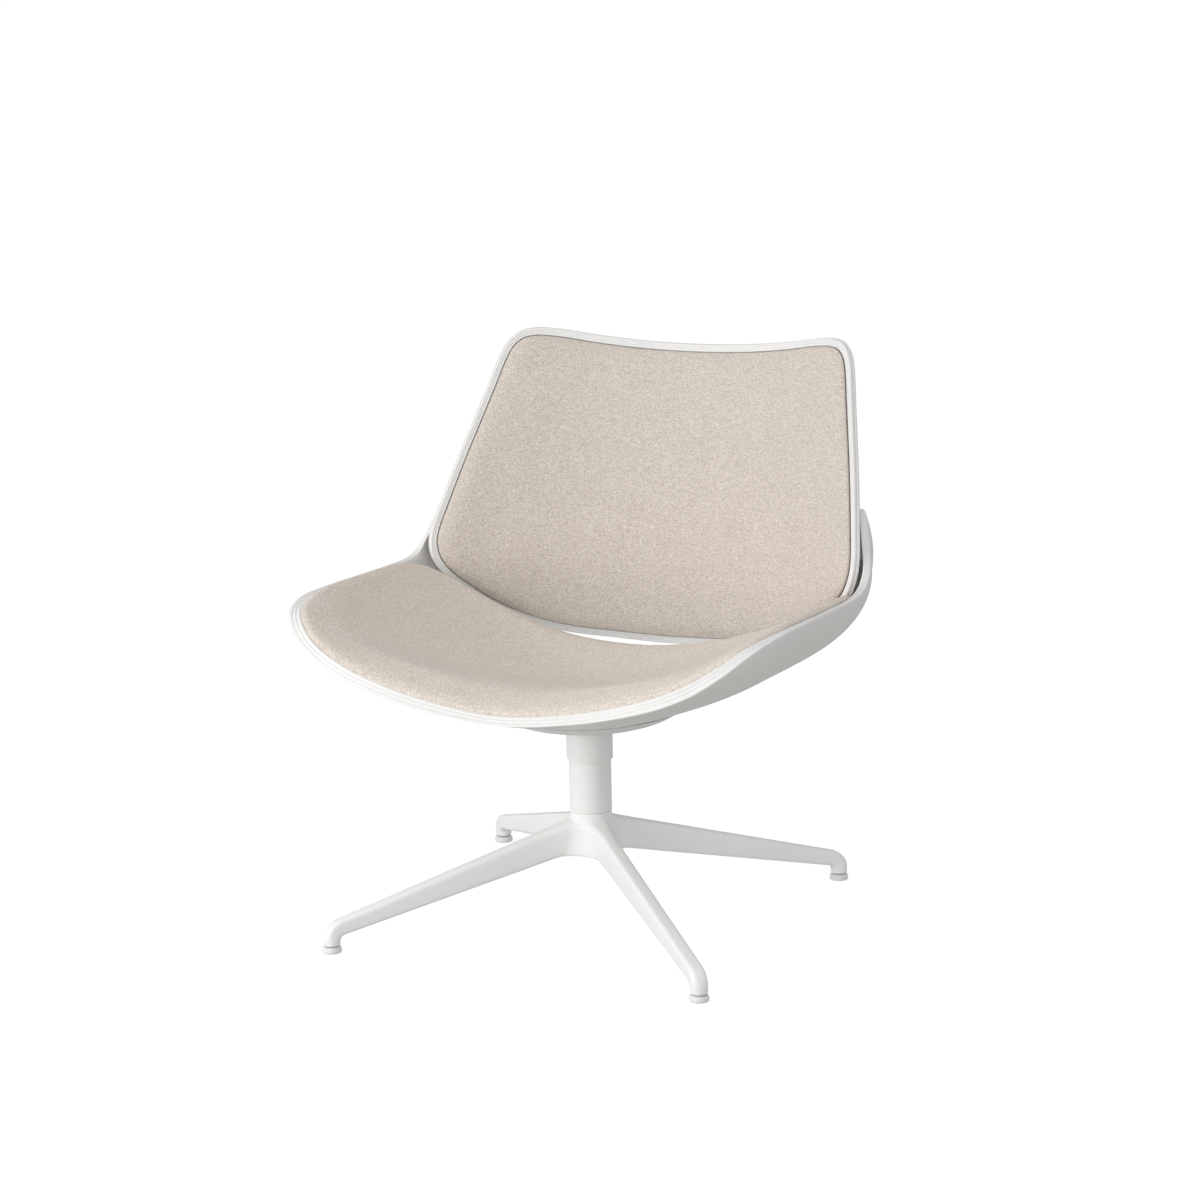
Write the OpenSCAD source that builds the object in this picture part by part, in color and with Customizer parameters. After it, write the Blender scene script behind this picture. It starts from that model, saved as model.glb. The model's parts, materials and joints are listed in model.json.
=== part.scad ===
// Pedestal swivel armchair: a four-arm cast base, a column, and a moulded seat shell whose two
// rear wings carry a separate upholstered back. Millimetres, +Z up, the chair faces -Y.
// The origin is on the floor, under the middle of the chair's width and depth.

/* [Base] */
// Distance from the column's axis to the middle of each foot
foot_reach = 388; // [350:1:430]
// Diameter of the round foot at the end of each arm
foot_d = 24.5; // [22:0.5:27]
// Height of the hub's top face, on which the column stands
hub_top = 158; // [150:1:170]
// Height of the hub's lower face
hub_bottom = 95; // [88:1:100]
// Height of an arm's top edge beside the column
arm_root_top = 143; // [136:1:148]
// Height of an arm's lower edge beside the column
arm_root_bottom = 96; // [90:1:102]
// Height of an arm's top edge where it turns down
arm_tip_top = 47.5; // [46:0.5:54]
// Height of an arm's lower edge where it turns down
arm_tip_bottom = 24.5; // [24:0.5:29]
// Width of an arm along its length
arm_w = 21.5; // [17:0.5:23]
// Width of an arm where it grows out of the hub
arm_root_w = 38; // [28:1:40]
// Radius of the hollow corner between neighbouring arms
web_r = 45; // [40:1:50]
// Radius of the bend at the end of each arm, along its middle
elbow_r = 18; // [15:0.5:20]

/* [Glides] */
// Diameter of a floor glide
glide_d = 27; // [25:0.5:31]
// Height of a floor glide
glide_h = 9; // [8:0.5:11]
// Open gap between a glide and its foot when it is screwed home
glide_gap = 1.2; // [0.5:0.1:2]
// Diameter of a glide's threaded stud
stud_d = 8; // [6:1:9]
// Length of the threaded insert in a foot
insert_h = 18; // [14:1:20]

/* [Column] */
// Outer diameter of the column tube
tube_d = 60; // [56:1:64]
// Wall of the column tube
tube_wall = 3; // [2:0.5:4]
// Wall of the sleeve round the top of the tube
sleeve_wall = 2.6; // [2:0.1:4]
// Height of the sleeve's lower edge
sleeve_bottom = 233; // [215:1:250]
// Diameter of the spindle that the seat turns on
spindle_d = 25; // [20:1:30]
// Length of each plain bush
bush_h = 24; // [18:1:30]
// Thickness of the upper bush's flange
flange_t = 2.5; // [2:0.5:4]
// Thickness of the thrust washer
thrust_t = 2.5; // [2:0.5:4]
// Thickness of the spindle's collar
collar_t = 5; // [4:0.5:7]
// Diameter of the bolt that clamps the column in the hub
hub_bolt_d = 12; // [10:1:14]

/* [Seat plate and cover] */
// Height of the flat underside of the seat shell
seat_floor = 304; // [295:1:320]
// Thickness of the steel seat plate
plate_t = 5; // [4:0.5:6]
// Radius of the seat plate
plate_r = 98; // [94:1:104]
// Distance of the seat plate's screws from the axis
plate_screw_reach = 80; // [74:1:86]
// Diameter of the seat plate's screws
plate_screw_d = 6; // [5:0.5:7]
// Radius of the under-seat cover
cover_r = 138; // [134:1:142]
// Depth of the under-seat cover
cover_h = 16.5; // [15:0.5:17]
// Wall of the under-seat cover
cover_wall = 2.2; // [1.8:0.1:2.6]
// Distance of the cover's screws from the axis
cover_screw_reach = 60; // [55:1:65]
// Diameter of the cover's screws
cover_screw_d = 4; // [3:0.5:5]

/* [Seat shell] */
// Half the width of the seat shell over its side rims
seat_half_w = 363; // [350:1:375]
// Distance from the column's axis to the shell's front edge
front_reach = 300; // [285:1:315]
// Distance from the column's axis to the shell's rear edge between the wings
rear_reach = 189; // [180:1:196]
// Height of the rim at the middle of the front
front_rim_z = 355; // [345:1:365]
// Height of the rim along the sides
side_rim_z = 471; // [460:1:480]
// Height of the shell's rear edge between the wings
rear_rim_z = 340; // [336:1:342]
// Radius of the flat floor of the shell
floor_r = 118; // [114:1:122]
// Wall of the shell's floor
shell_wall = 6; // [5:0.5:7]
// Width of the ridged lip round the seat pad
lip_w = 17; // [14:0.5:19]
// Depth from the lip down to the ledge that the pad's edge stands on
pad_recess = 8; // [6:0.5:9]
// Thickness of each wing
wing_t = 12; // [10:0.5:13]
// Gap between each wing and the back, filled by the spacers
wing_gap = 5; // [4:0.5:7]

/* [Seat pad] */
// Height of the pad's top at the column's axis
pad_dish_z = 348; // [344:1:352]
// Height of the pad's free rear edge at its middle
pad_rear_z = 352; // [350:1:356]
// Height of the pad's free edge near its rear corners
pad_corner_z = 440; // [436:1:444]
// Distance from the column's axis to the pad's free rear edge at its middle
pad_rear_reach = 170; // [164:1:174]
// Distance of the pad's rear corners behind the column's axis
pad_corner_reach = 184; // [178:1:188]
// Rise of the rounded crown over the pad's edge
pad_crown = 9; // [6:0.5:11]
// Width of the pad's rounded border
pad_round_w = 40; // [30:1:50]
// Thickness of the moulded board under the pad
board_t = 4; // [3:0.5:5]
// Open joint between the pad's edge and the lip
pad_joint = 2; // [1.5:0.5:3]

/* [Back] */
// Half the width of the back pad along its curve, as a share of the seat's half width
back_width_share = 0.997; // [0.985:0.001:1.01]
// Height of the back pad's lower edge at its middle
back_bottom_z = 347; // [345:1:355]
// Height of the back pad's top corners
back_top_z = 776; // [740:1:800]
// Distance from the column's axis to the back at its middle, at half height
back_reach = 347.5; // [340:1:352]
// Slope of the back, in millimetres rearwards for each millimetre of height
back_slope = 0.321; // [0.3:0.001:0.34]
// Extra rearward curve of the back at its top and bottom
back_bow = 5; // [0:0.5:6]
// Radius of the back's wrap at half height, as a share of the seat's half width
wrap_share = 1.231; // [1.2:0.001:1.28]
// Width of the ridged frame round the back pad
frame_w = 10.5; // [9:0.5:12]
// Thickness of the frame ring
frame_t = 5.2; // [4.5:0.1:6]
// Thickness of the back over its frame and shell
back_t = 11; // [10:0.5:12]
// Open joint between the back pad and its frame
frame_joint = 1.6; // [1:0.1:2]
// Rise of the back pad's crown in front of the frame
back_crown = 12; // [8:0.5:14]

/* [Back fixings] */
// Distance of the wing bolts from the back's middle, as a share of its half width
wing_bolt_share = 0.932; // [0.925:0.001:0.94]
// Height of the lower wing bolts, as a share of the back's height
wing_bolt_low_share = 0.375; // [0.37:0.001:0.38]
// Height of the upper wing bolts, as a share of the back's height
wing_bolt_high_share = 0.445; // [0.44:0.001:0.45]
// Length of the wing's boss at the lower bolts
wing_boss_low_h = 20; // [19:0.5:22]
// Length of the wing's boss at the upper bolts
wing_boss_high_h = 11; // [10:0.5:12]
// Diameter of the wing bolts
wing_bolt_d = 6; // [5:0.5:7]
// Diameter of the cap over each wing bolt
wing_cap_d = 14; // [13:0.5:16]

/* [Hidden] */
$fn = 48;

// Radial clearance of pieces fixed in each other
fit_gap = 0.03;
// Radial clearance of a shaft in its bush
running_gap = 0.05;
// Gap between pieces that turn against each other
turning_gap = 0.3;
// Length by which a cut runs past a face
overrun = 1;

tube_r = tube_d / 2;
tube_in_r = tube_r - tube_wall;
spindle_r = spindle_d / 2;
sleeve_in_r = tube_r + turning_gap;
sleeve_r = sleeve_in_r + sleeve_wall;
plate_bottom = seat_floor - plate_t;
collar_bottom = plate_bottom - collar_t;
flange_bottom = collar_bottom - thrust_t - flange_t;

// Half the number of columns round the seat shell and its pad
seat_columns = 40;
// Half the number of columns round the back
back_columns = 38;

function lerp(a, b, k) = a + (b - a) * k;
function unit(v) = v / norm(v);
// The same place on the other side, and the same place at another height
function mirrored(p) = [-p[0], p[1], p[2]];
function flat(p, z) = [p[0], p[1], z];

// Cubic curve through a list of points, at place u from 0 to one less than their number
function spline(p, u) =
    let (last = len(p) - 1, i = min(floor(u), last - 1), f = u - i)
    let (a = p[max(i - 1, 0)], b = p[i], c = p[i + 1], d = p[min(i + 2, last)])
    (2 * b + (c - a) * f + (2 * a - 5 * b + 4 * c - d) * f * f
        + (3 * b - a - 3 * c + d) * f * f * f) / 2;

// Points along one half of a mirrored loop, from its first place to its last, both on X = 0
function half_loop(p, count) =
    let (last = len(p) - 1, q = concat([mirrored(p[1])], p, [mirrored(p[last - 1])]))
    [for (k = [0:count]) spline(q, 1 + k * last / count)];

// The other values that go with those points
function half_values(v, count) =
    let (last = len(v) - 1, q = concat([v[1]], v, [v[last - 1]]))
    [for (k = [0:count]) spline(q, 1 + k * last / count)];

// The whole loop, or list of values, from its half
function whole_loop(h) = concat(h, [for (k = [len(h) - 2:-1:1]) mirrored(h[k])]);
function whole_values(v) = concat(v, [for (k = [len(v) - 2:-1:1]) v[k]]);

// One point of a cubic rib
function rib(a, b, c, d, s) =
    a * pow(1 - s, 3) + b * 3 * s * pow(1 - s, 2) + c * 3 * s * s * (1 - s) + d * pow(s, 3);

// Two triangles over four corners, parted along the shorter diagonal
function corners(p, a, b, c, d) =
    norm(p[a] - p[c]) < norm(p[b] - p[d]) ? [[a, b, c], [a, c, d]] : [[a, b, d], [b, c, d]];

// Closed solid through a list of rings, with a flat face over the first and the last ring
module skin(rings) {
    n = len(rings[0]);
    m = len(rings);
    p = [for (r = rings) each r];
    polyhedron(
        points = p,
        faces = concat(
            [[for (i = [0:n - 1]) i]],
            [for (j = [0:m - 2], i = [0:n - 1]) let (k = (i + 1) % n)
                each corners(p, j * n + i, (j + 1) * n + i, (j + 1) * n + k, j * n + k)],
            [[for (i = [n - 1:-1:0]) (m - 1) * n + i]]));
}

// Closed ring-shaped solid through a list of sections
module hoop(sections) {
    n = len(sections[0]);
    m = len(sections);
    p = [for (r = sections) each r];
    polyhedron(
        points = p,
        faces = [for (j = [0:m - 1], i = [0:n - 1])
            let (k = (i + 1) % n, l = (j + 1) % m)
            each corners(p, j * n + i, l * n + i, l * n + k, j * n + k)]);
}

// Places on the back: u along its curve, z up, e rearwards from the front face of its frame
function wrap_at(z) = wrap_r + (z - back_mid_z) * wrap_growth_share;
function back_line(z) =
    back_reach + back_slope * (z - back_mid_z)
        + back_bow * pow((z - back_mid_z) / back_bow_span, 2);
function back_point(u, z, e) =
    let (r = wrap_at(z), a = u / r * 180 / PI)
    [(r + e) * sin(a), back_line(z) - r + (r + e) * cos(a), z];

back_half_w = back_width_share * seat_half_w;
wrap_r = wrap_share * seat_half_w;
back_mid_z = (back_bottom_z + back_top_z) / 2;
back_bow_span = (back_top_z - back_bottom_z) / 2;
// Growth of the wrap's radius for each millimetre of height
wrap_growth_share = 0.09;

// The column stands forward of the middle of the chair's depth
rear_most = back_line(back_top_z) + back_t;
column_y = (front_reach - rear_most) / 2;
module at_column() translate([0, column_y, 0]) children();

// Shell rim, from the middle of the front to the side: shares of the half width, of the
// front reach, and of the rise from the front rim to the side rim
rim_shares = [
    [0, -1, 0], [0.303, -0.997, 0.095], [0.55, -0.973, 0.259], [0.722, -0.947, 0.457],
    [0.848, -0.905, 0.705], [0.941, -0.79, 0.95], [0.985, -0.6, 1.045], [0.998, -0.367, 1.043],
    [1, 0, 1], [1, 0.317, 0.966], [0.986, 0.517, 0.991]];
// Wing, up its front edge, over its top and down its rear edge: shares of the back's half
// width and of the back's height
wing_shares = [
    [1.038, 0.338], [0.992, 0.422], [0.953, 0.487], [0.912, 0.501], [0.873, 0.462],
    [0.837, 0.368], [0.796, 0.252]];
// Rear edge from the wings to the middle: shares of the half width, of the rear reach, and of
// the rise from the rear rim to the side rim
rear_shares = [
    [0.738, 1.3, 0.5], [0.656, 1.23, 0.17], [0.523, 1.1, 0.14], [0.303, 1.037, 0.065], [0, 1, 0.02]];

function from_front(p) =
    [p[0] * seat_half_w, p[1] * front_reach, lerp(front_rim_z, side_rim_z, p[2])];
function from_rear(p) =
    [p[0] * seat_half_w, p[1] * rear_reach, lerp(rear_rim_z, side_rim_z, p[2])];
function on_wing(p, e) =
    back_point(p[0] * back_half_w, lerp(back_bottom_z, back_top_z, p[1]), e);

rim_places = concat(
    [for (p = rim_shares) from_front(p)],
    [for (p = wing_shares) on_wing(p, back_t + wing_gap + wing_t)],
    [for (p = rear_shares) from_rear(p)]);

// Lip from the rim to the pad's recess, in shares of its width along X, Y and Z
lip_shares = [
    [0, 0.85, 0.6], [0, 0.75, 0.7], [-0.1, 0.5, 0.85], [-0.25, 0.4, 0.9], [-0.6, 0.55, 0.6],
    [-0.85, 0.5, 0.2], [-0.9, 0.3, -0.05], [-0.75, 0.1, -0.05], [-0.65, 0, -0.05],
    [-0.65, 0, -0.05], [-0.65, -0.1, 0]];
rear_lip_shares = [
    [-0.2, -0.3, 0.15], [-0.2, -0.35, 0.35], [-0.1, -0.3, 0.5], [0, -0.2, 0.55], [0, -0.15, 0.55]];
lip_places = concat(
    [for (k = [0:len(rim_shares) - 1]) rim_places[k] + lip_w * lip_shares[k]],
    [for (p = wing_shares) on_wing(p, back_t + wing_gap)],
    [for (k = [0:len(rear_shares) - 1])
        from_rear(rear_shares[k]) + lip_w * rear_lip_shares[k]]);

// Where each rib's two control places lie: run and rise of the first, run and rise of the second
shoulder_shares = [
    [0.4, 0.38, 0.8, 0.78], [0.4, 0.38, 0.8, 0.78], [0.4, 0.36, 0.82, 0.74], [0.38, 0.34, 0.84, 0.68],
    [0.36, 0.3, 0.88, 0.62], [0.34, 0.26, 0.92, 0.55], [0.33, 0.22, 0.94, 0.52],
    [0.33, 0.2, 0.95, 0.5], [0.33, 0.18, 0.95, 0.5], [0.33, 0.16, 0.96, 0.48], [0.33, 0.15, 1, 0.44],
    [0.33, 0.14, 1.06, 0.4], [0.34, 0.14, 1.14, 0.34], [0.36, 0.13, 1.21, 0.26], [0.38, 0.13, 1.21, 0.2],
    [0.4, 0.14, 1.18, 0.17], [0.4, 0.12, 1.19, 0.13], [0.4, 0.13, 1.14, 0.14], [0.4, 0.16, 1, 0.26],
    [0.4, 0.2, 0.9, 0.45], [0.4, 0.22, 0.86, 0.55], [0.4, 0.25, 0.82, 0.6], [0.4, 0.25, 0.8, 0.6]];
// Depth of the pad's recess below the lip, full along the front and the sides
recess_shares = [
    1, 1, 1, 1, 1, 1, 1, 1, 1, 1, 0.6, 0.2,
    0.1, 0.1, 0.1, 0.1, 0.1, 0.1, 0.1, 0.1, 0.1, 0.1, 0.1];
// Inward lean of the ledge's fall at the widest place, as a share of its depth
fall_lean = 0.3;

rim_loop = whole_loop(half_loop(rim_places, seat_columns));
lip_loop = whole_loop(half_loop(lip_places, seat_columns));
shoulders = whole_values(half_values(shoulder_shares, seat_columns));
recesses = whole_values(half_values(recess_shares, seat_columns));
// The ledge lies straight below the lip at the front and sides, and down the ribs at the wings
floor_start = floor_loop(floor_r - shell_wall, seat_floor + shell_wall);
ledge_loop = [for (k = [0:len(lip_loop) - 1])
    let (climb = lip_loop[k] - floor_start[k], turn = shoulders[k])
    let (run = turn[2] - 1, rise = turn[3] - 1)
    let (back_down = unit([climb[0] * run, climb[1] * run, climb[2] * rise]))
    let (fall = unit([-fall_lean * lip_loop[k][0] / seat_half_w, 0, -1]))
    lip_loop[k] + pad_recess * recesses[k] * unit(lerp(back_down, fall, recesses[k]))];

// Direction square to a rib's step, upwards, in the upright plane that the rib runs in
function rib_off(step, run) = unit([-step[2] * run[0], -step[2] * run[1], step * run]);

// Points of the shell's floor, on the same bearings as the rim
function floor_loop(r, z) = [for (p = rim_loop)
    let (d = norm([p[0], p[1]])) [r * p[0] / d, r * p[1] / d, z]];

function shell_rib(start, end, shoulder, s) =
    let (run = [end[0] - start[0], end[1] - start[1], 0], rise = [0, 0, end[2] - start[2]])
    rib(start, start + run * shoulder[0] + rise * shoulder[1],
        start + run * shoulder[2] + rise * shoulder[3], end, s);

rib_steps = 10;
outer_start = floor_loop(floor_r, seat_floor);
shell_outer = [for (j = [0:rib_steps])
    [for (k = [0:len(rim_loop) - 1])
        shell_rib(outer_start[k], rim_loop[k], shoulders[k], j / rib_steps)]];

// Clearance of the pads and boards from what carries them
board_gap = 0.7;

// Part of a rib over which its slope is taken
slope_step = 0.02;

// Place on the shell's inner surface, with the direction off it towards the sitter
function inner_at(k, s) = shell_rib(floor_start[k], ledge_loop[k], shoulders[k], s);
function inner_off(k, s) =
    let (step = inner_at(k, s + slope_step) - inner_at(k, s - slope_step))
    rib_off(step, unit(flat(ledge_loop[k] - floor_start[k], 0)));
function rib_length(k) = norm(ledge_loop[k] - floor_start[k]);

// The pad covers each inner rib up to the lip, or up to its own free edge behind the axis
pad_squareness = 6;
pad_width_share = 0.98;
pad_half_w = pad_width_share * seat_half_w;
pad_corner_share = 0.86;
pad_corner_x = pad_corner_share * seat_half_w;
function pad_depth(x) = lerp(pad_rear_reach, pad_corner_reach, min(1, pow(x / pad_corner_x, 2)));
function past_edge(p) = p[1] > 0 &&
    pow(abs(p[0]) / pad_half_w, pad_squareness) + pow(p[1] / pad_depth(p[0]), pad_squareness) > 1;
function edge_share(k, low, high, steps) =
    let (mid = (low + high) / 2)
    steps == 0 ? mid
    : past_edge(inner_at(k, mid)) ? edge_share(k, low, mid, steps - 1)
    : edge_share(k, mid, high, steps - 1);
edge_search_steps = 14;
pad_ends = [for (k = [0:len(ledge_loop) - 1])
    past_edge(inner_at(k, 1)) ? edge_share(k, 0, 1, edge_search_steps)
    : 1 - pad_joint / rib_length(k)];

// Rings of the shell's inner surface: shares of the pad's reach, then of the rest of each rib
seat_layer_shares = [0.2, 0.4, 0.6, 0.75, 0.88];
shell_rest_shares = [0, 0.12, 0.25, 0.4, 0.6, 0.8, 1];
shell_rest_start = 0.9;
shell_inner = concat(
    [floor_start],
    [for (q = seat_layer_shares) [for (k = [0:len(pad_ends) - 1]) inner_at(k, q * pad_ends[k])]],
    [for (q = shell_rest_shares) [for (k = [0:len(pad_ends) - 1])
        inner_at(k, lerp(min(pad_ends[k], shell_rest_start), 1, q))]]);

// Ring over the inner surface: share s of the pad's reach, and height h off the surface
function over_shell(s, h) = [for (k = [0:len(ledge_loop) - 1])
    inner_at(k, s * pad_ends[k]) + h * inner_off(k, s * pad_ends[k])];

// Upper edge of the pad: just inside the lip, or at its own height along the free edge
pad_climb = 2.2;
function pad_edge_z(x) = lerp(pad_rear_z, pad_corner_z, pow(abs(x) / pad_corner_x, pad_climb));
pad_rim = [for (k = [0:len(ledge_loop) - 1])
    let (lip = lip_loop[k] * (1 - pad_joint / norm(lip_loop[k])))
    let (at = inner_at(k, pad_ends[k]) + pad_joint * inner_off(k, pad_ends[k]))
    past_edge(inner_at(k, 1)) ? [at[0], at[1], pad_edge_z(at[0])] : [lip[0], lip[1], lip_loop[k][2]]];
// Lower edge of the pad, close over the shell
pad_foot = [for (k = [0:len(ledge_loop) - 1])
    inner_at(k, pad_ends[k] - pad_joint / rib_length(k)) + 2 * board_gap * inner_off(k, pad_ends[k])];

// Control places of the ribs of the pad's face, as for the shell
pad_shoulder_shares = [
    [0.45, 0.35, 0.8, 0.8], [0.45, 0.35, 0.8, 0.8], [0.45, 0.3, 0.8, 0.75], [0.44, 0.2, 0.84, 0.65],
    [0.42, 0.12, 0.88, 0.57], [0.42, 0.08, 0.9, 0.52], [0.42, 0.06, 0.9, 0.5], [0.42, 0.06, 0.9, 0.5],
    [0.42, 0.06, 0.9, 0.5], [0.42, 0.06, 0.9, 0.5], [0.42, 0.06, 0.9, 0.5], [0.42, 0.08, 0.88, 0.5],
    [0.42, 0.1, 0.86, 0.52], [0.42, 0.12, 0.84, 0.55], [0.42, 0.14, 0.82, 0.58], [0.42, 0.15, 0.82, 0.6],
    [0.42, 0.16, 0.82, 0.62], [0.42, 0.18, 0.82, 0.65], [0.42, 0.2, 0.8, 0.68], [0.42, 0.2, 0.8, 0.7],
    [0.42, 0.2, 0.8, 0.7], [0.42, 0.2, 0.8, 0.7], [0.42, 0.2, 0.8, 0.7]];
pad_shoulders = whole_values(half_values(pad_shoulder_shares, seat_columns));
// Radius of the nearly flat middle of the pad's face, as a share of the floor's
pad_dish_share = 0.2;
pad_dish = floor_loop(pad_dish_share * floor_r, pad_dish_z - pad_crown);

// Place on the pad's face before its crown, and on the crowned face
function face_at(k, s) = shell_rib(pad_dish[k], pad_rim[k], pad_shoulders[k], s);
function face_off(k, s) =
    let (step = face_at(k, s + slope_step) - face_at(k, s - slope_step))
    rib_off(step, unit(flat(pad_rim[k] - pad_dish[k], 0)));
function face_ring(s) = [for (k = [0:len(pad_rim) - 1])
    let (t = min(1, (1 - s) * norm(pad_rim[k] - pad_dish[k]) / pad_round_w))
    face_at(k, s) + pad_crown * (1 - pow(1 - t, 2)) * face_off(k, s)];

// Four places round the axis, on the bearings of the arms
module four_arms(reach) for (a = [45:90:315]) rotate(a) translate([reach, 0, 0]) children();

// Four places round the axis, on the bearings of the sides
module four_sides(reach) for (a = [0:90:270]) rotate(a) translate([reach, 0, 0]) children();

// Six places round the axis
module six_round(reach) for (a = [0:60:300]) rotate(a) translate([reach, 0, 0]) children();

// A ring with a bore, standing on height z
module ring(r_out, r_in, z, h) translate([0, 0, z]) difference() {
    cylinder(r = r_out, h = h);
    translate([0, 0, -overrun]) cylinder(r = r_in, h = h + 2 * overrun);
}

// A rod standing on height z
module rod(r, z, h) translate([0, 0, z]) cylinder(r = r, h = h);

// Height over which the lean of the back is taken
tilt_step = 1;
// Lean of the back at a place, from the rearward run of its face for each millimetre of height
function back_bearing(u, z) = u / wrap_at(z) * 180 / PI;
function back_tilt(u, z) =
    let (run = back_point(u, z + tilt_step, 0) - back_point(u, z - tilt_step, 0), a = back_bearing(u, z))
    atan((run[0] * sin(a) + run[1] * cos(a)) / run[2]);

// A place on the back whose own Z runs rearwards, square to the back, from the frame's front face
module at_back(u, z) translate(back_point(u, z, 0))
    rotate([0, 90 + back_tilt(u, z), 90 - back_bearing(u, z)]) children();

// Heights of the two wing bolts of a side, with the length of the wing's boss at each
wing_bolt_low_z = lerp(back_bottom_z, back_top_z, wing_bolt_low_share);
wing_bolt_high_z = lerp(back_bottom_z, back_top_z, wing_bolt_high_share);
wing_bolt_places = [[wing_bolt_low_z, wing_boss_low_h], [wing_bolt_high_z, wing_boss_high_h]];

// The four wing bolts' places, with the depth of each bolt's seat as a value for what stands there
module at_wing_bolts() for (side = [-1, 1], p = wing_bolt_places) {
    $head_e = wing_seat_e + p[1];
    at_back(side * wing_bolt_share * back_half_w, p[0]) children();
}

// Section of an arm across its run: sides flat along the arm, round at the foot
function arm_section(at, heading, half_h, half_w, roundness) = [for (k = [0:arm_points - 1])
    let (t = 360 * k / arm_points, p = 2 / roundness)
    let (across = half_w * sign(cos(t)) * pow(abs(cos(t)), p))
    let (up = half_h * sign(sin(t)) * pow(abs(sin(t)), p))
    [at[0] + up * sin(heading), across, at[1] + up * cos(heading)]];

arm_points = 16;
arm_squareness = 4;
// Distance from the axis at which an arm's root heights are measured
arm_root_reach = 40;
arm_tip_reach = foot_reach - elbow_r;
function arm_top(r) =
    lerp(arm_root_top, arm_tip_top, (r - arm_root_reach) / (arm_tip_reach - arm_root_reach));
function arm_bottom(r) =
    lerp(arm_root_bottom, arm_tip_bottom, (r - arm_root_reach) / (arm_tip_reach - arm_root_reach));
function arm_mid(r) = (arm_top(r) + arm_bottom(r)) / 2;
arm_drop = arm_mid(arm_root_reach) - arm_mid(arm_tip_reach);
arm_heading = atan(arm_drop / (arm_tip_reach - arm_root_reach));
elbow_start_r = arm_tip_reach + elbow_r * sin(arm_heading);
elbow_z = arm_mid(elbow_start_r) - elbow_r * cos(arm_heading);
foot_bottom = glide_h + glide_gap;

// Places along an arm as shares of its reach, with its width there between arm_w and arm_root_w
arm_station_shares = [[0.052, 1], [0.082, 0.62], [0.113, 0.34], [0.16, 0.14], [0.258, 0.03], [0.515, 0],
    [0.773, 0], [0.902, 0]];
elbow_steps = 5;

module arm() skin(concat(
    [for (p = arm_station_shares)
        let (r = p[0] * foot_reach, half_h = (arm_top(r) - arm_bottom(r)) / 2 * cos(arm_heading))
        arm_section([r, arm_mid(r)], arm_heading, half_h, lerp(arm_w, arm_root_w, p[1]) / 2,
            arm_squareness)],
    [for (k = [0:elbow_steps])
        let (f = k / elbow_steps, h = lerp(arm_heading, 90, f))
        let (half_h = (arm_top(elbow_start_r) - arm_bottom(elbow_start_r)) / 2 * cos(arm_heading))
        arm_section([arm_tip_reach + elbow_r * sin(h), elbow_z + elbow_r * cos(h)], h,
            lerp(half_h, foot_d / 2, f), lerp(arm_w, foot_d, f) / 2, lerp(arm_squareness, 2, f))],
    [arm_section([foot_reach, foot_bottom], 90, foot_d / 2, foot_d / 2, 2)]));

// Hub profile: shares of the tube's radius and of the hub's height
hub_shares = [[1.03, 0], [1.1, 0.03], [1.085, 0.2], [1.035, 0.48], [1, 0.85], [1, 0.975], [0.985, 1]];
spigot_share = 0.6;
spigot_r = spigot_share * tube_r;
spigot_h = 32;
hub_floor_t = 10;
hub_spigot_z = hub_top - spigot_h;
hub_floor_z = hub_spigot_z - hub_floor_t;
hub_bolt_r = hub_bolt_d / 2;
hub_bolt_head_r = 10;
hub_bolt_head_h = 7.6;
hub_washer_r = 12;
hub_washer_t = 2.4;
hub_clearance = 0.5;
insert_wall = 2;
insert_r = stud_d / 2 + insert_wall;
insert_inset = 0.5;

// Hollow corners between the arms, up to just below the arms' top edges
web_drop = 4;
module arm_web() {
    across = arm_w / 2 + web_r;
    edge_r = sqrt(2) * across;
    intersection() {
        linear_extrude(hub_top)
        difference() {
            rotate(45) square(2 * across, center = true);
            four_sides(edge_r) circle(web_r);
        }
        rotate_extrude()
        polygon([
            [0, hub_bottom], [edge_r, hub_bottom], [edge_r, arm_top(edge_r) - web_drop],
            [0, arm_top(0) - web_drop]]);
    }
}

module star_base() {
    color("white")
    at_column()
    difference() {
        union() {
            rotate_extrude()
            polygon(concat([[0, hub_bottom]],
                [for (p = hub_shares) [p[0] * tube_r, lerp(hub_bottom, hub_top, p[1])]],
                [[0, hub_top]]));
            four_arms(0) arm();
            arm_web();
        }
        rod(spigot_r, hub_spigot_z, spigot_h + overrun);
        rod(hub_bolt_r + hub_clearance, hub_floor_z - overrun, hub_floor_t + 2 * overrun);
        rod(hub_washer_r + hub_clearance, hub_bottom - overrun, hub_floor_z - hub_bottom + overrun);
        four_arms(foot_reach)
        rod(insert_r, foot_bottom - overrun, insert_h + insert_inset + overrun);
    }
}

module foot_inserts() {
    color("goldenrod")
    at_column()
    four_arms(foot_reach)
    ring(insert_r - fit_gap, stud_d / 2 + running_gap, foot_bottom + insert_inset, insert_h);
}

// Glide profile: shares of its radius and of its height
glide_shares = [[0, 0], [0.9, 0], [1, 0.14], [1, 0.66], [0.87, 0.78], [0.87, 1], [0, 1]];
stud_socket_h = 3;
stud_h = insert_h + insert_inset + glide_gap + stud_socket_h - 2 * insert_inset;

// Under the foot of one arm, by the signs of the arm's X and Y
module at_foot(x, y) at_column() rotate(atan2(y, x)) translate([foot_reach, 0, 0]) children();

module glide(x, y) {
    color("whitesmoke")
    at_foot(x, y)
    difference() {
        rotate_extrude() polygon([for (p = glide_shares) [p[0] * glide_d / 2, p[1] * glide_h]]);
        rod(stud_d / 2 + fit_gap, glide_h - stud_socket_h, stud_socket_h + overrun);
    }
}

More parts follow.
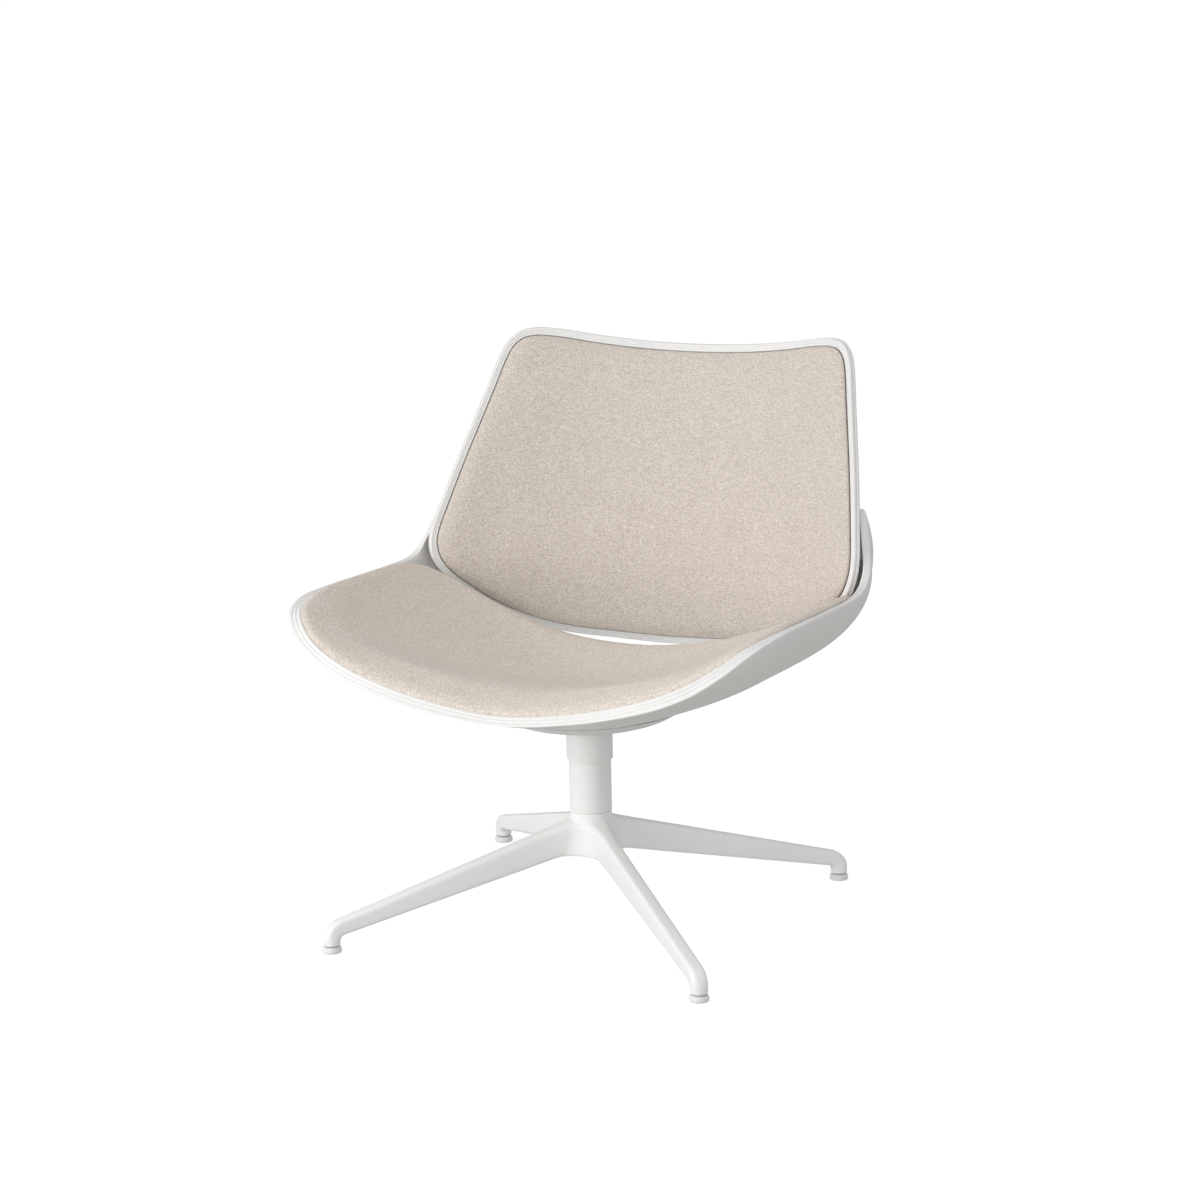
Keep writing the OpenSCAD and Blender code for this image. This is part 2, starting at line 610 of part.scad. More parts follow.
module glide_stud(x, y) {
    color("silver")
    at_foot(x, y)
    rod(stud_d / 2, glide_h - stud_socket_h, stud_h);
}

plug_h = 18;
plug_thread_h = 24;
module column_plug() {
    color("silver")
    at_column()
    difference() {
        union() {
            rod(tube_in_r - fit_gap, hub_top, plug_h);
            rod(spigot_r - fit_gap, hub_spigot_z, spigot_h + overrun);
        }
        rod(hub_bolt_r, hub_spigot_z - overrun, plug_thread_h + overrun);
    }
}

module hub_washer() {
    color("silver")
    at_column()
    ring(hub_washer_r, hub_bolt_r + hub_clearance, hub_floor_z - hub_washer_t, hub_washer_t);
}

module hub_bolt() {
    color("silver")
    at_column()
    union() {
        head_z = hub_floor_z - hub_washer_t - hub_bolt_head_h;
        translate([0, 0, head_z]) cylinder(r = hub_bolt_head_r, h = hub_bolt_head_h, $fn = 6);
        rod(hub_bolt_r - fit_gap, head_z, hub_spigot_z + plug_thread_h - 2 * overrun - head_z);
    }
}

module column_tube() {
    color("white")
    at_column()
    ring(tube_r, tube_in_r, hub_top, flange_bottom - hub_top);
}

// Height of the lower bush's lower face
lower_bush_z = 190;
module lower_bush() {
    color("ivory")
    at_column()
    ring(tube_in_r - fit_gap, spindle_r + running_gap, lower_bush_z, bush_h);
}

flange_inset = 0.5;
module upper_bush() {
    color("ivory")
    at_column()
    union() {
        ring(tube_in_r - fit_gap, spindle_r + running_gap, flange_bottom - bush_h, bush_h);
        ring(tube_r - flange_inset, spindle_r + running_gap, flange_bottom, flange_t);
    }
}

module thrust_washer() {
    color("dimgray")
    at_column()
    ring(tube_in_r, spindle_r + turning_gap, flange_bottom + flange_t, thrust_t);
}

retaining_washer_t = 2;
retaining_washer_r = 20;
retaining_ring_t = 1.5;
retaining_ring_r = 16;
groove_depth = 1.3;
spindle_tail = 6;
retaining_washer_z = lower_bush_z - turning_gap - retaining_washer_t;
retaining_ring_z = retaining_washer_z - retaining_ring_t;
spindle_z = retaining_ring_z - spindle_tail;
spindle_spigot_r = 10;

module spindle() {
    color("silver")
    at_column()
    difference() {
        union() {
            rod(spindle_r, spindle_z, collar_bottom - spindle_z);
            rod(tube_in_r, collar_bottom, collar_t);
            rod(spindle_spigot_r - fit_gap, plate_bottom - overrun, plate_t + overrun);
        }
        ring(spindle_r + overrun, spindle_r - groove_depth, retaining_ring_z, retaining_ring_t);
    }
}

module retaining_washer() {
    color("silver")
    at_column()
    ring(retaining_washer_r, spindle_r + running_gap, retaining_washer_z, retaining_washer_t);
}

// Spring ring in the spindle's groove, open at one side
ring_opening = 8;
module retaining_ring() {
    color("dimgray")
    at_column()
    difference() {
        ring(retaining_ring_r, spindle_r - groove_depth + running_gap, retaining_ring_z,
            retaining_ring_t);
        translate([spindle_r - 2 * groove_depth, -ring_opening / 2, retaining_ring_z - overrun])
        cube([retaining_ring_r, ring_opening, retaining_ring_t + 2 * overrun]);
    }
}

module column_sleeve() {
    color("white")
    at_column()
    ring(sleeve_r, sleeve_in_r, sleeve_bottom, plate_bottom - sleeve_bottom);
}

screw_clearance = 0.3;
plate_screw_r = plate_screw_d / 2;
plate_screw_head_r = 5.2;
plate_screw_head_h = 2.4;
cover_screw_r = cover_screw_d / 2;
cover_screw_head_r = 3.8;
cover_screw_head_h = 2.4;
shell_insert_r = plate_screw_r + insert_wall;
shell_insert_h = 8;
boss_wall = 3.5;
boss_r = shell_insert_r + boss_wall;
boss_top = seat_floor + shell_wall + board_t - turning_gap;

module seat_plate() {
    color("silver")
    at_column()
    difference() {
        ring(plate_r, spindle_spigot_r, plate_bottom, plate_t);
        four_arms(plate_screw_reach)
        rod(plate_screw_r + screw_clearance, plate_bottom - overrun, plate_t + 2 * overrun);
        four_sides(cover_screw_reach)
        rod(cover_screw_r, plate_bottom - overrun, plate_t + 2 * overrun);
    }
}

module seat_plate_screws() {
    color("dimgray")
    at_column()
    four_arms(plate_screw_reach)
    union() {
        rod(plate_screw_head_r, plate_bottom - plate_screw_head_h, plate_screw_head_h);
        rod(plate_screw_r - fit_gap, plate_bottom - overrun, plate_t + shell_insert_h);
    }
}

module shell_inserts() {
    color("goldenrod")
    at_column()
    four_arms(plate_screw_reach)
    ring(shell_insert_r - fit_gap, plate_screw_r, seat_floor, shell_insert_h);
}

cover_rim_rise = 2;
cover_rim_z = seat_floor + cover_rim_rise;
cover_bottom = cover_rim_z - cover_h;
// Cover profile past its flat bottom: shares of its radius and of its depth
cover_out_shares = [
    [0.5, 0], [0.62, 0.12], [0.72, 0.28], [0.81, 0.5], [0.9, 0.76], [0.97, 0.93], [1, 1]];
// Thickness of the cover's side at its bottom, as a share of its wall
cover_edge_share = 0.1;
cover_rib_share = 0.81;
cover_rib_base_share = 0.5;
cover_boss_r = 6;
cover_hole_gap = 0.5;

module under_seat_cover() {
    color("gainsboro")
    at_column()
    difference() {
        union() {
            rotate_extrude()
            polygon(concat(
                [[sleeve_r + cover_hole_gap, cover_bottom]],
                [for (p = cover_out_shares) [p[0] * cover_r, lerp(cover_bottom, cover_rim_z, p[1])]],
                [for (k = [len(cover_out_shares) - 1:-1:0]) let (p = cover_out_shares[k])
                    [p[0] * cover_r - cover_wall * lerp(cover_edge_share, 1, p[1]),
                     lerp(cover_bottom + cover_wall, cover_rim_z, p[1])]],
                [[sleeve_r + cover_hole_gap, cover_bottom + cover_wall]]));
            rib_r = cover_rib_share * cover_r;
            rib_z = lerp(cover_bottom, cover_rim_z, cover_rib_base_share);
            ring(rib_r, rib_r - cover_wall, rib_z, seat_floor - rib_z);
            four_sides(cover_screw_reach)
            rod(cover_boss_r, cover_bottom + overrun, plate_bottom - cover_bottom - overrun);
        }
        four_sides(cover_screw_reach) {
            rod(cover_screw_r + screw_clearance, cover_bottom, plate_bottom - cover_bottom + overrun);
            rod(cover_screw_head_r + screw_clearance, cover_bottom - overrun,
                cover_screw_head_h + 2 * overrun);
        }
    }
}

module cover_screws() {
    color("dimgray")
    at_column()
    four_sides(cover_screw_reach)
    union() {
        head_top = cover_bottom + cover_screw_head_h + overrun;
        rod(cover_screw_head_r, head_top - cover_screw_head_h, cover_screw_head_h);
        rod(cover_screw_r - fit_gap, head_top - overrun, plate_bottom + plate_t - head_top);
    }
}

board_screw_reach = 105;
wing_bolt_r = wing_bolt_d / 2;
wing_boss_r = 9;
// Depth of the back's rear face at the wing bolts, square to the back
wing_back_e = back_t * cos(back_tilt(wing_bolt_share * back_half_w, wing_bolt_high_z));
wing_seat_e = wing_back_e + wing_gap;
wing_head_h = 3.6;
wing_head_r = 5.2;
wing_cap_r = wing_cap_d / 2;

module seat_shell() {
    color("white")
    at_column()
    difference() {
        union() {
            skin(concat(shell_outer,
                [for (p = lip_ridge_shares) ridge_ring(p)],
                [lip_loop],
                [for (k = [len(shell_inner) - 1:-1:0]) shell_inner[k]]));
            four_arms(plate_screw_reach)
            rod(boss_r, seat_floor + overrun, boss_top - seat_floor - overrun);
            at_wing_bolts() rod(wing_boss_r, wing_seat_e, $head_e - wing_seat_e);
        }
        four_arms(plate_screw_reach)
        rod(shell_insert_r, seat_floor - overrun, shell_insert_h + insert_inset + overrun);
        six_round(board_screw_reach)
        rod(cover_screw_r + screw_clearance, seat_floor - overrun, shell_wall + 2 * overrun);
        at_wing_bolts() {
            rod(wing_bolt_r + screw_clearance, wing_seat_e - overrun,
                $head_e - wing_seat_e + 2 * overrun);
            rod(wing_cap_r, $head_e, 2 * wing_t);
        }
    }
}

// Ridges along the lip: share of the way in from the rim, and height as a share of the lip's width
lip_ridge_shares = [[0.28, 0.06], [0.4, -0.01], [0.52, 0.06]];
function ridge_ring(p) = [for (k = [0:len(rim_loop) - 1])
    let (n = len(rim_loop), across = lip_loop[k] - rim_loop[k])
    let (along = rim_loop[(k + 1) % n] - rim_loop[(k + n - 1) % n])
    rim_loop[k] + across * p[0] + unit(cross(along, across)) * norm(across) * p[1]];

module seat_board() {
    color("burlywood")
    at_column()
    difference() {
        skin(concat(
            [floor_start],
            [for (s = seat_layer_shares) over_shell(s, board_gap)],
            [for (k = [len(seat_layer_shares) - 1:-1:0])
                over_shell(seat_layer_shares[k], board_gap + board_t)],
            [floor_loop(floor_r - shell_wall - board_t / 2, seat_floor + shell_wall + board_t)]));
        four_arms(plate_screw_reach)
        rod(boss_r + screw_clearance, seat_floor + shell_wall - overrun, board_t + 2 * overrun);
        six_round(board_screw_reach)
        rod(cover_screw_r, seat_floor + shell_wall - overrun, board_t + 2 * overrun);
    }
}

module seat_board_screws() {
    color("dimgray")
    at_column()
    six_round(board_screw_reach)
    union() {
        rod(cover_screw_head_r, seat_floor - cover_screw_head_h, cover_screw_head_h);
        rod(cover_screw_r - fit_gap, seat_floor - overrun,
            shell_wall + board_t + overrun - insert_inset);
    }
}

pad_lift = board_gap + board_t + board_gap;
// Places of the rings of the pad's face, from its edge to its middle
face_shares = [1, 0.985, 0.955, 0.9, 0.8, 0.55, 0.28, 0];
module seat_pad() {
    color("burlywood")
    at_column()
    skin(concat(
        [floor_loop(floor_r - shell_wall - board_t / 2, seat_floor + shell_wall + board_t + board_gap)],
        [for (s = seat_layer_shares) over_shell(s, pad_lift)],
        [pad_foot],
        [for (s = face_shares) face_ring(s)]));
}

// Outline of the back pad, from the middle of its lower edge to the middle of its upper edge:
// shares of the back's half width and of its height
back_shares = [
    [0, 0], [0.194, 0.007], [0.394, 0.023], [0.559, 0.056], [0.72, 0.112], [0.851, 0.179],
    [0.944, 0.238], [0.994, 0.296], [1.003, 0.361], [0.966, 0.469], [0.918, 0.599], [0.868, 0.725],
    [0.825, 0.837], [0.789, 0.935], [0.755, 0.981], [0.696, 1], [0.586, 0.993], [0.422, 0.97],
    [0.222, 0.951], [0, 0.944]];
back_outline = whole_loop(half_loop(
    [for (p = back_shares) [p[0] * back_half_w, lerp(back_bottom_z, back_top_z, p[1]), 0]],
    back_columns));
back_centre_share = 0.45;
back_centre = [0, lerp(back_bottom_z, back_top_z, back_centre_share), 0];

// Ring on the back: share q of the outline, moved outwards by g, at depth e
function back_ring(q, g, e) =
    let (n = len(back_outline))
    [for (k = [0:n - 1])
        let (d = unit(back_outline[(k + 1) % n] - back_outline[(k + n - 1) % n]))
        let (p = lerp(back_centre, back_outline[k], q) + g * [d[1], -d[0], 0])
        back_point(p[0], p[1], e)];
function back_apex(e) = back_point(back_centre[0], back_centre[1], e);

// Closed solid through a list of rings that ends in a point at each side
module capped_skin(first, rings, last) {
    n = len(rings[0]);
    m = len(rings);
    p = concat([first], [for (r = rings) each r], [last]);
    polyhedron(
        points = p,
        faces = concat(
            [for (i = [0:n - 1]) [0, 1 + i, 1 + (i + 1) % n]],
            [for (j = [0:m - 2], i = [0:n - 1])
                let (a = 1 + j * n + i, b = 1 + j * n + (i + 1) % n)
                each corners(p, a, a + n, b + n, b)],
            [for (i = [0:n - 1]) [1 + m * n, 1 + (m - 1) * n + (i + 1) % n, 1 + (m - 1) * n + i]]));
}

// Places of the rings of the back's layers, as shares of its outline
back_layer_shares = [0.25, 0.5, 0.7, 0.88];
layer_count = len(back_layer_shares);
function layer_rings(e) = [for (q = back_layer_shares) back_ring(q, 0, e)];
function layer_rings_inwards(e) =
    [for (k = [layer_count - 1:-1:0]) back_ring(back_layer_shares[k], 0, e)];

shell_front_e = frame_t + turning_gap;
frame_edge_g = frame_joint + frame_w;
shell_edge_inset = 1.2;
wing_insert_wall = 1.5;
wing_insert_r = wing_bolt_r + wing_insert_wall;
wing_insert_h = 8;
clip_r = 3;
clip_depth = 3;
// Places of the pad's clips: shares of the back's half width and of its height
clip_shares = [[0.55, 0.2], [0.6, 0.5], [0.5, 0.82]];
module at_clips()
    for (side = [-1, 1], p = clip_shares)
        at_back(side * p[0] * back_half_w, lerp(back_bottom_z, back_top_z, p[1])) children();

module back_shell() {
    color("white")
    at_column()
    difference() {
        union() {
            capped_skin(back_apex(back_t), concat(
                layer_rings(back_t),
                [back_ring(1, 0, back_t), back_ring(1, frame_edge_g - 3 * shell_edge_inset, back_t),
                 back_ring(1, frame_edge_g - shell_edge_inset, back_t - shell_edge_inset / 2),
                 back_ring(1, frame_edge_g, back_t - 2 * shell_edge_inset),
                 back_ring(1, frame_edge_g, shell_front_e), back_ring(1, 0, shell_front_e)],
                layer_rings_inwards(shell_front_e)), back_apex(shell_front_e));
            at_wing_bolts()
            rod(boss_r, wing_back_e - wing_insert_h - insert_inset, wing_insert_h + insert_inset);
        }
        at_wing_bolts() rod(wing_insert_r, wing_back_e - wing_insert_h, wing_insert_h + overrun);
        at_clips() rod(clip_r, back_board_e, shell_front_e + clip_depth - back_board_e);
    }
}

// Section of the frame: shares of its width outwards and of its thickness rearwards
frame_shares = [[0, 1], [1, 1], [1, 0.25], [0.86, 0], [0.5, 0], [0.42, 0.14], [0.34, 0], [0.12, 0],
    [0, 0.2]];
module back_frame() {
    color("white")
    at_column()
    hoop([for (p = frame_shares) back_ring(1, frame_joint + p[0] * frame_w, p[1] * frame_t)]);
}

back_board_e = 1;
back_board_t = 4;
module back_board() {
    color("burlywood")
    at_column()
    difference() {
        capped_skin(back_apex(back_board_e + back_board_t),
            concat(layer_rings(back_board_e + back_board_t), layer_rings_inwards(back_board_e)),
            back_apex(back_board_e));
        at_clips() rod(clip_r, -overrun, back_board_e + back_board_t + 2 * overrun);
    }
}

module back_pad_clips() {
    color("dimgray")
    at_column()
    at_clips()
    rod(clip_r - fit_gap, back_board_e + insert_inset,
        shell_front_e + clip_depth - back_board_e - 2 * insert_inset);
}

back_pad_e = 0.6;
// Rings of the pad's face: share of the outline, and height as a share of the crown
back_crown_shares = [
    [1, 0.18], [0.985, 0.45], [0.955, 0.72], [0.9, 0.9], [0.78, 0.98], [0.55, 1], [0.28, 1]];
// Share of the outline that the pad's rear edge takes
pad_foot_share = 0.985;
module back_pad() {
    color("burlywood")
    at_column()
    capped_skin(back_apex(back_pad_e),
        concat(layer_rings(back_pad_e), [back_ring(pad_foot_share, 0, back_pad_e)],
            [for (p = back_crown_shares) back_ring(p[0], 0, -p[1] * back_crown)]),
        back_apex(-back_crown));
}

spacer_r = 7;
module wing_spacers() {
    color("gainsboro")
    at_column()
    at_wing_bolts() ring(spacer_r, wing_bolt_r + screw_clearance, wing_back_e, wing_gap);
}

module wing_inserts() {
    color("goldenrod")
    at_column()
    at_wing_bolts()
    ring(wing_insert_r - fit_gap, wing_bolt_r, wing_back_e - wing_insert_h, wing_insert_h);
}

module wing_bolts() {
    color("dimgray")
    at_column()
    at_wing_bolts()
    union() {
        rod(wing_head_r, $head_e, wing_head_h);
        rod(wing_bolt_r - fit_gap, wing_back_e - wing_insert_h + insert_inset,
            $head_e - wing_back_e + wing_insert_h - insert_inset + overrun);
    }
}

wing_cap_h = 2.4;
module wing_caps() {
    color("white")
    at_column()
    at_wing_bolts()
    rod(wing_cap_r - fit_gap, $head_e + wing_head_h, wing_cap_h);
}

star_base();
foot_inserts();
glide(-1, -1);  // glide_front_left
glide(1, -1);  // glide_front_right
glide(-1, 1);  // glide_rear_left
glide(1, 1);  // glide_rear_right
glide_stud(-1, -1);  // stud_front_left
glide_stud(1, -1);  // stud_front_right
glide_stud(-1, 1);  // stud_rear_left
glide_stud(1, 1);  // stud_rear_right
column_plug();
hub_bolt();
hub_washer();
column_tube();
lower_bush();
upper_bush();
thrust_washer();
spindle();
retaining_washer();
retaining_ring();
column_sleeve();
seat_plate();
seat_plate_screws();
shell_inserts();
under_seat_cover();
cover_screws();
seat_shell();
seat_board();
seat_board_screws();
seat_pad();
back_shell();
back_frame();
back_board();
back_pad_clips();
back_pad();
wing_spacers();
wing_inserts();
wing_bolts();
wing_caps();
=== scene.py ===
"""Looks of the pedestal swivel armchair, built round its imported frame.

Sizes are in millimetres until place() turns them into the frame's metres.
"""
import json
import math
import bmesh
import bpy
import numpy as np
from mathutils import Matrix, Vector
from mathutils.kdtree import KDTree


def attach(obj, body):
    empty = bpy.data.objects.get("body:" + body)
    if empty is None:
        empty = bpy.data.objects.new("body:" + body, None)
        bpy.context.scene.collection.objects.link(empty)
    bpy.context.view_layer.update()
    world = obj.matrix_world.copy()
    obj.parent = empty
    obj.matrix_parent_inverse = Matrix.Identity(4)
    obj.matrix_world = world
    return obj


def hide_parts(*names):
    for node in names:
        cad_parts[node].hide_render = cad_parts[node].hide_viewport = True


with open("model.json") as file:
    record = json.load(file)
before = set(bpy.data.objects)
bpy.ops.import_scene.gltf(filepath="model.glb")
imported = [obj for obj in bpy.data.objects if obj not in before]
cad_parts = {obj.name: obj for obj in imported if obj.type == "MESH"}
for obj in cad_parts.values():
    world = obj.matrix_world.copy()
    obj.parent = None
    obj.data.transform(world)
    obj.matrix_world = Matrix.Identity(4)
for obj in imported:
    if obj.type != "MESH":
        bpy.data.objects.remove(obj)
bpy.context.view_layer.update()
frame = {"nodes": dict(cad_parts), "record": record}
NODES = frame["nodes"]

# Seat shell, as in the part's source: reaches are measured from the column's axis
SEAT_HALF_W, FRONT_REACH, REAR_REACH = 363.0, 300.0, 189.0
FRONT_RIM_Z, SIDE_RIM_Z, REAR_RIM_Z = 355.0, 471.0, 340.0
SEAT_FLOOR, FLOOR_R, SHELL_WALL = 304.0, 118.0, 6.0
LIP_W, PAD_RECESS, LEDGE_LEAN, WING_T, WING_GAP = 17.0, 8.0, 0.3, 12.0, 5.0
# Seat pad and the board under it: corner and side are shares of the seat's half width, the dish of its floor
PAD_DISH_Z, PAD_REAR_Z, PAD_CORNER_Z, PAD_CROWN = 348.0, 352.0, 440.0, 9.0
PAD_REAR_REACH, PAD_CORNER_REACH, PAD_EDGE_POWER = 170.0, 184.0, 6
PAD_CORNER_SHARE, PAD_SIDE_SHARE, PAD_DISH_SHARE, PAD_EDGE_CLIMB = 0.86, 0.98, 0.2, 2.2
BOARD_T, PAD_JOINT, BOARD_GAP = 4.0, 2.0, 0.7
# Back: outline, slope and wrap; e counts rearwards from the front face of its frame
BACK_HALF_W, BACK_BOTTOM_Z, BACK_TOP_Z = 0.997 * SEAT_HALF_W, 347.0, 776.0
BACK_REACH, BACK_SLOPE, BACK_BOW = 347.5, 0.321, 5.0
WRAP_R, WRAP_GROWTH = 1.231 * SEAT_HALF_W, 0.09
FRAME_W, FRAME_JOINT, BACK_T, BACK_FACE_E, BACK_PAD_E, BACK_CROWN = 10.5, 1.6, 11.0, 5.5, 0.6, 12.0
# Bolts of the wings: height as a share of the back's and length of the boss; their share of its half width
WING_BOLTS, WING_BOLT_SHARE = [(0.375, 20.0), (0.445, 11.0)], 0.932
BOSS_R, BOLT_HOLE_R, CAP_HOLE_R, CAP_HOLE_LENGTH, OVERRUN = 9, 3.3, 7, 24, 1
# Star base
FOOT_REACH, FOOT_D, HUB_TOP, HUB_BOTTOM, TUBE_R = 388.0, 24.5, 158.0, 95.0, 30.0
ARM_ROOT_TOP, ARM_ROOT_BOTTOM, ARM_TIP_TOP, ARM_TIP_BOTTOM = 143.0, 96.0, 47.5, 24.5
ARM_W, ARM_ROOT_W, ELBOW_R, ARM_ROOT_REACH, FOOT_BOTTOM = 21.5, 38.0, 18.0, 40.0, 10.2
ARM_ANGLES, WEB_R, WEB_DROP = (45, 135, 225, 315), 45.0, 4.0
FOOT_EDGE_H, FOOT_EDGE_W, FOOT_BORE_R, FOOT_BORE_DEPTH = 0.8, 0.7, 6, 18.5
SOCKET_R, SOCKET_FLOOR, BOLT_BORE_R = 18.2, 113, 12.6

BACK_MID_Z = (BACK_BOTTOM_Z + BACK_TOP_Z) / 2
BACK_SPAN = (BACK_TOP_Z - BACK_BOTTOM_Z) / 2


def back_line(z):
    return BACK_REACH + BACK_SLOPE * (z - BACK_MID_Z) + BACK_BOW * ((z - BACK_MID_Z) / BACK_SPAN) ** 2


def back_point(u, z, e):
    """Point on the back: u along its curve, z up, e rearwards from the frame's front face."""
    u, z, e = np.broadcast_arrays(np.asarray(u, float), np.asarray(z, float), np.asarray(e, float))
    r = WRAP_R + (z - BACK_MID_Z) * WRAP_GROWTH
    return np.stack([(r + e) * np.sin(u / r), back_line(z) - r + (r + e) * np.cos(u / r), z], -1)


COLUMN_Y = (FRONT_REACH - (back_line(BACK_TOP_Z) + BACK_T)) / 2


def place(p):
    return (np.asarray(p, float) + [0, COLUMN_Y, 0]) / 1000


def unit(v):
    return v / np.maximum(np.linalg.norm(v, axis=-1, keepdims=True), 1e-12)


def spline(p, u):
    """Cubic curve through the rows of p at places u, as in the part's source."""
    p, last = np.asarray(p, float), len(p) - 1
    i = np.minimum(np.floor(u).astype(int), last - 1)
    f = (u - i)[:, None]
    a, b, c, d = p[np.maximum(i - 1, 0)], p[i], p[i + 1], p[np.minimum(i + 2, last)]
    return (2 * b + (c - a) * f + (2 * a - 5 * b + 4 * c - d) * f ** 2 + (3 * b - a - 3 * c + d) * f ** 3) / 2


MIRROR = np.array([-1.0, 1, 1])


def whole(p, count, points=True):
    """A whole loop of 2 * count places from the tables of its right half."""
    p = np.asarray(p, float)
    flip = MIRROR if points else 1
    q = np.vstack([p[1] * flip, p, p[-2] * flip])
    half = spline(q, 1 + np.arange(count + 1) * (len(p) - 1) / count)
    return np.vstack([half, half[-2:0:-1] * flip])


# Right half of the rim, from the front's middle to the rear's, as shares across, along and up; the wing's
# rows are shares of the back's half width and height
RIM = [(0, -1, 0), (0.303, -0.997, 0.095), (0.55, -0.973, 0.259), (0.722, -0.947, 0.457),
       (0.848, -0.905, 0.705), (0.941, -0.79, 0.95), (0.985, -0.6, 1.045), (0.998, -0.367, 1.043), (1, 0, 1),
       (1, 0.317, 0.966), (0.986, 0.517, 0.991)]
WING = [(1.038, 0.338), (0.992, 0.422), (0.953, 0.487), (0.912, 0.501), (0.873, 0.462), (0.837, 0.368),
        (0.796, 0.252)]
REAR = [(0.738, 1.3, 0.5), (0.656, 1.23, 0.17), (0.523, 1.1, 0.14), (0.303, 1.037, 0.065), (0, 1, 0.02)]
# The lip's inner edge against the rim, in widths of the lip
LIP = [(0, 0.85, 0.6), (0, 0.75, 0.7), (-0.1, 0.5, 0.85), (-0.25, 0.4, 0.9), (-0.6, 0.55, 0.6),
       (-0.85, 0.5, 0.2), (-0.9, 0.3, -0.05), (-0.75, 0.1, -0.05), (-0.65, 0, -0.05), (-0.65, 0, -0.05),
       (-0.65, -0.1, 0)]
REAR_LIP = [(-0.2, -0.3, 0.15), (-0.2, -0.35, 0.35), (-0.1, -0.3, 0.5), (0, -0.2, 0.55), (0, -0.15, 0.55)]
# Where each rib turns: the two inner handles of its curve, run and climb
SHOULDERS = [
    (0.4, 0.38, 0.8, 0.78), (0.4, 0.38, 0.8, 0.78), (0.4, 0.36, 0.82, 0.74), (0.38, 0.34, 0.84, 0.68),
    (0.36, 0.3, 0.88, 0.62), (0.34, 0.26, 0.92, 0.55), (0.33, 0.22, 0.94, 0.52), (0.33, 0.2, 0.95, 0.5),
    (0.33, 0.18, 0.95, 0.5), (0.33, 0.16, 0.96, 0.48), (0.33, 0.15, 1, 0.44), (0.33, 0.14, 1.06, 0.4),
    (0.34, 0.14, 1.14, 0.34), (0.36, 0.13, 1.21, 0.26), (0.38, 0.13, 1.21, 0.2), (0.4, 0.14, 1.18, 0.17),
    (0.4, 0.12, 1.19, 0.13), (0.4, 0.13, 1.14, 0.14), (0.4, 0.16, 1, 0.26), (0.4, 0.2, 0.9, 0.45),
    (0.4, 0.22, 0.86, 0.55), (0.4, 0.25, 0.82, 0.6), (0.4, 0.25, 0.8, 0.6)]
# How deep the pad's recess is, as a share, and the turns of the pad's own ribs
RECESSES = [1] * 10 + [0.6, 0.2] + [0.1] * 11
PAD_SHOULDERS = [
    (0.45, 0.35, 0.8, 0.8), (0.45, 0.35, 0.8, 0.8), (0.45, 0.3, 0.8, 0.75), (0.44, 0.2, 0.84, 0.65),
    (0.42, 0.12, 0.88, 0.57), (0.42, 0.08, 0.9, 0.52), (0.42, 0.06, 0.9, 0.5), (0.42, 0.06, 0.9, 0.5),
    (0.42, 0.06, 0.9, 0.5), (0.42, 0.06, 0.9, 0.5), (0.42, 0.06, 0.9, 0.5), (0.42, 0.08, 0.88, 0.5),
    (0.42, 0.1, 0.86, 0.52), (0.42, 0.12, 0.84, 0.55), (0.42, 0.14, 0.82, 0.58), (0.42, 0.15, 0.82, 0.6),
    (0.42, 0.16, 0.82, 0.62), (0.42, 0.18, 0.82, 0.65), (0.42, 0.2, 0.8, 0.68), (0.42, 0.2, 0.8, 0.7),
    (0.42, 0.2, 0.8, 0.7), (0.42, 0.2, 0.8, 0.7), (0.42, 0.2, 0.8, 0.7)]
# Outline of the back, from its bottom's middle round to its top's
BACK = [(0, 0), (0.194, 0.007), (0.394, 0.023), (0.559, 0.056), (0.72, 0.112), (0.851, 0.179), (0.944, 0.238),
        (0.994, 0.296), (1.003, 0.361), (0.966, 0.469), (0.918, 0.599), (0.868, 0.725), (0.825, 0.837),
        (0.789, 0.935), (0.755, 0.981), (0.696, 1), (0.586, 0.993), (0.422, 0.97), (0.222, 0.951), (0, 0.944)]


def lerp(a, b, k):
    return a + (b - a) * k


# Loops of the seat shell's rim and lip, and the ribs between floor and edge
COLUMNS, HALVINGS, RIB_STEP = 200, 22, 0.02


def seat_points(table, reach, low_z):
    return np.array([(x * SEAT_HALF_W, y * reach, lerp(low_z, SIDE_RIM_Z, z)) for x, y, z in table])


def wing_points(e):
    u, z = np.array(WING).T
    return back_point(u * BACK_HALF_W, lerp(BACK_BOTTOM_Z, BACK_TOP_Z, z), e)


front_at = seat_points(RIM, FRONT_REACH, FRONT_RIM_Z)
rear_at = seat_points(REAR, REAR_REACH, REAR_RIM_Z)
wing_face = BACK_T + WING_GAP
rim = whole(np.vstack([front_at, wing_points(wing_face + WING_T), rear_at]), COLUMNS)
lip = whole(np.vstack([front_at + LIP_W * np.array(LIP), wing_points(wing_face),
                       rear_at + LIP_W * np.array(REAR_LIP)]), COLUMNS)
turn = whole(SHOULDERS, COLUMNS, False)
recess = whole(np.array(RECESSES, float)[:, None], COLUMNS, False)


def floor_loop(r, z):
    d = unit(rim[:, :2])
    return np.column_stack([r * d, np.full(len(d), z)])


def rib(start, end, t, s):
    """Points of all ribs at share s, one share for all or one for each."""
    s = np.broadcast_to(np.asarray(s, float), (len(start),))[:, None]
    climb = end - start
    b = start + climb * np.column_stack([t[:, 0], t[:, 0], t[:, 1]])
    c = start + climb * np.column_stack([t[:, 2], t[:, 2], t[:, 3]])
    return start * (1 - s) ** 3 + b * 3 * s * (1 - s) ** 2 + c * 3 * s * s * (1 - s) + end * s ** 3


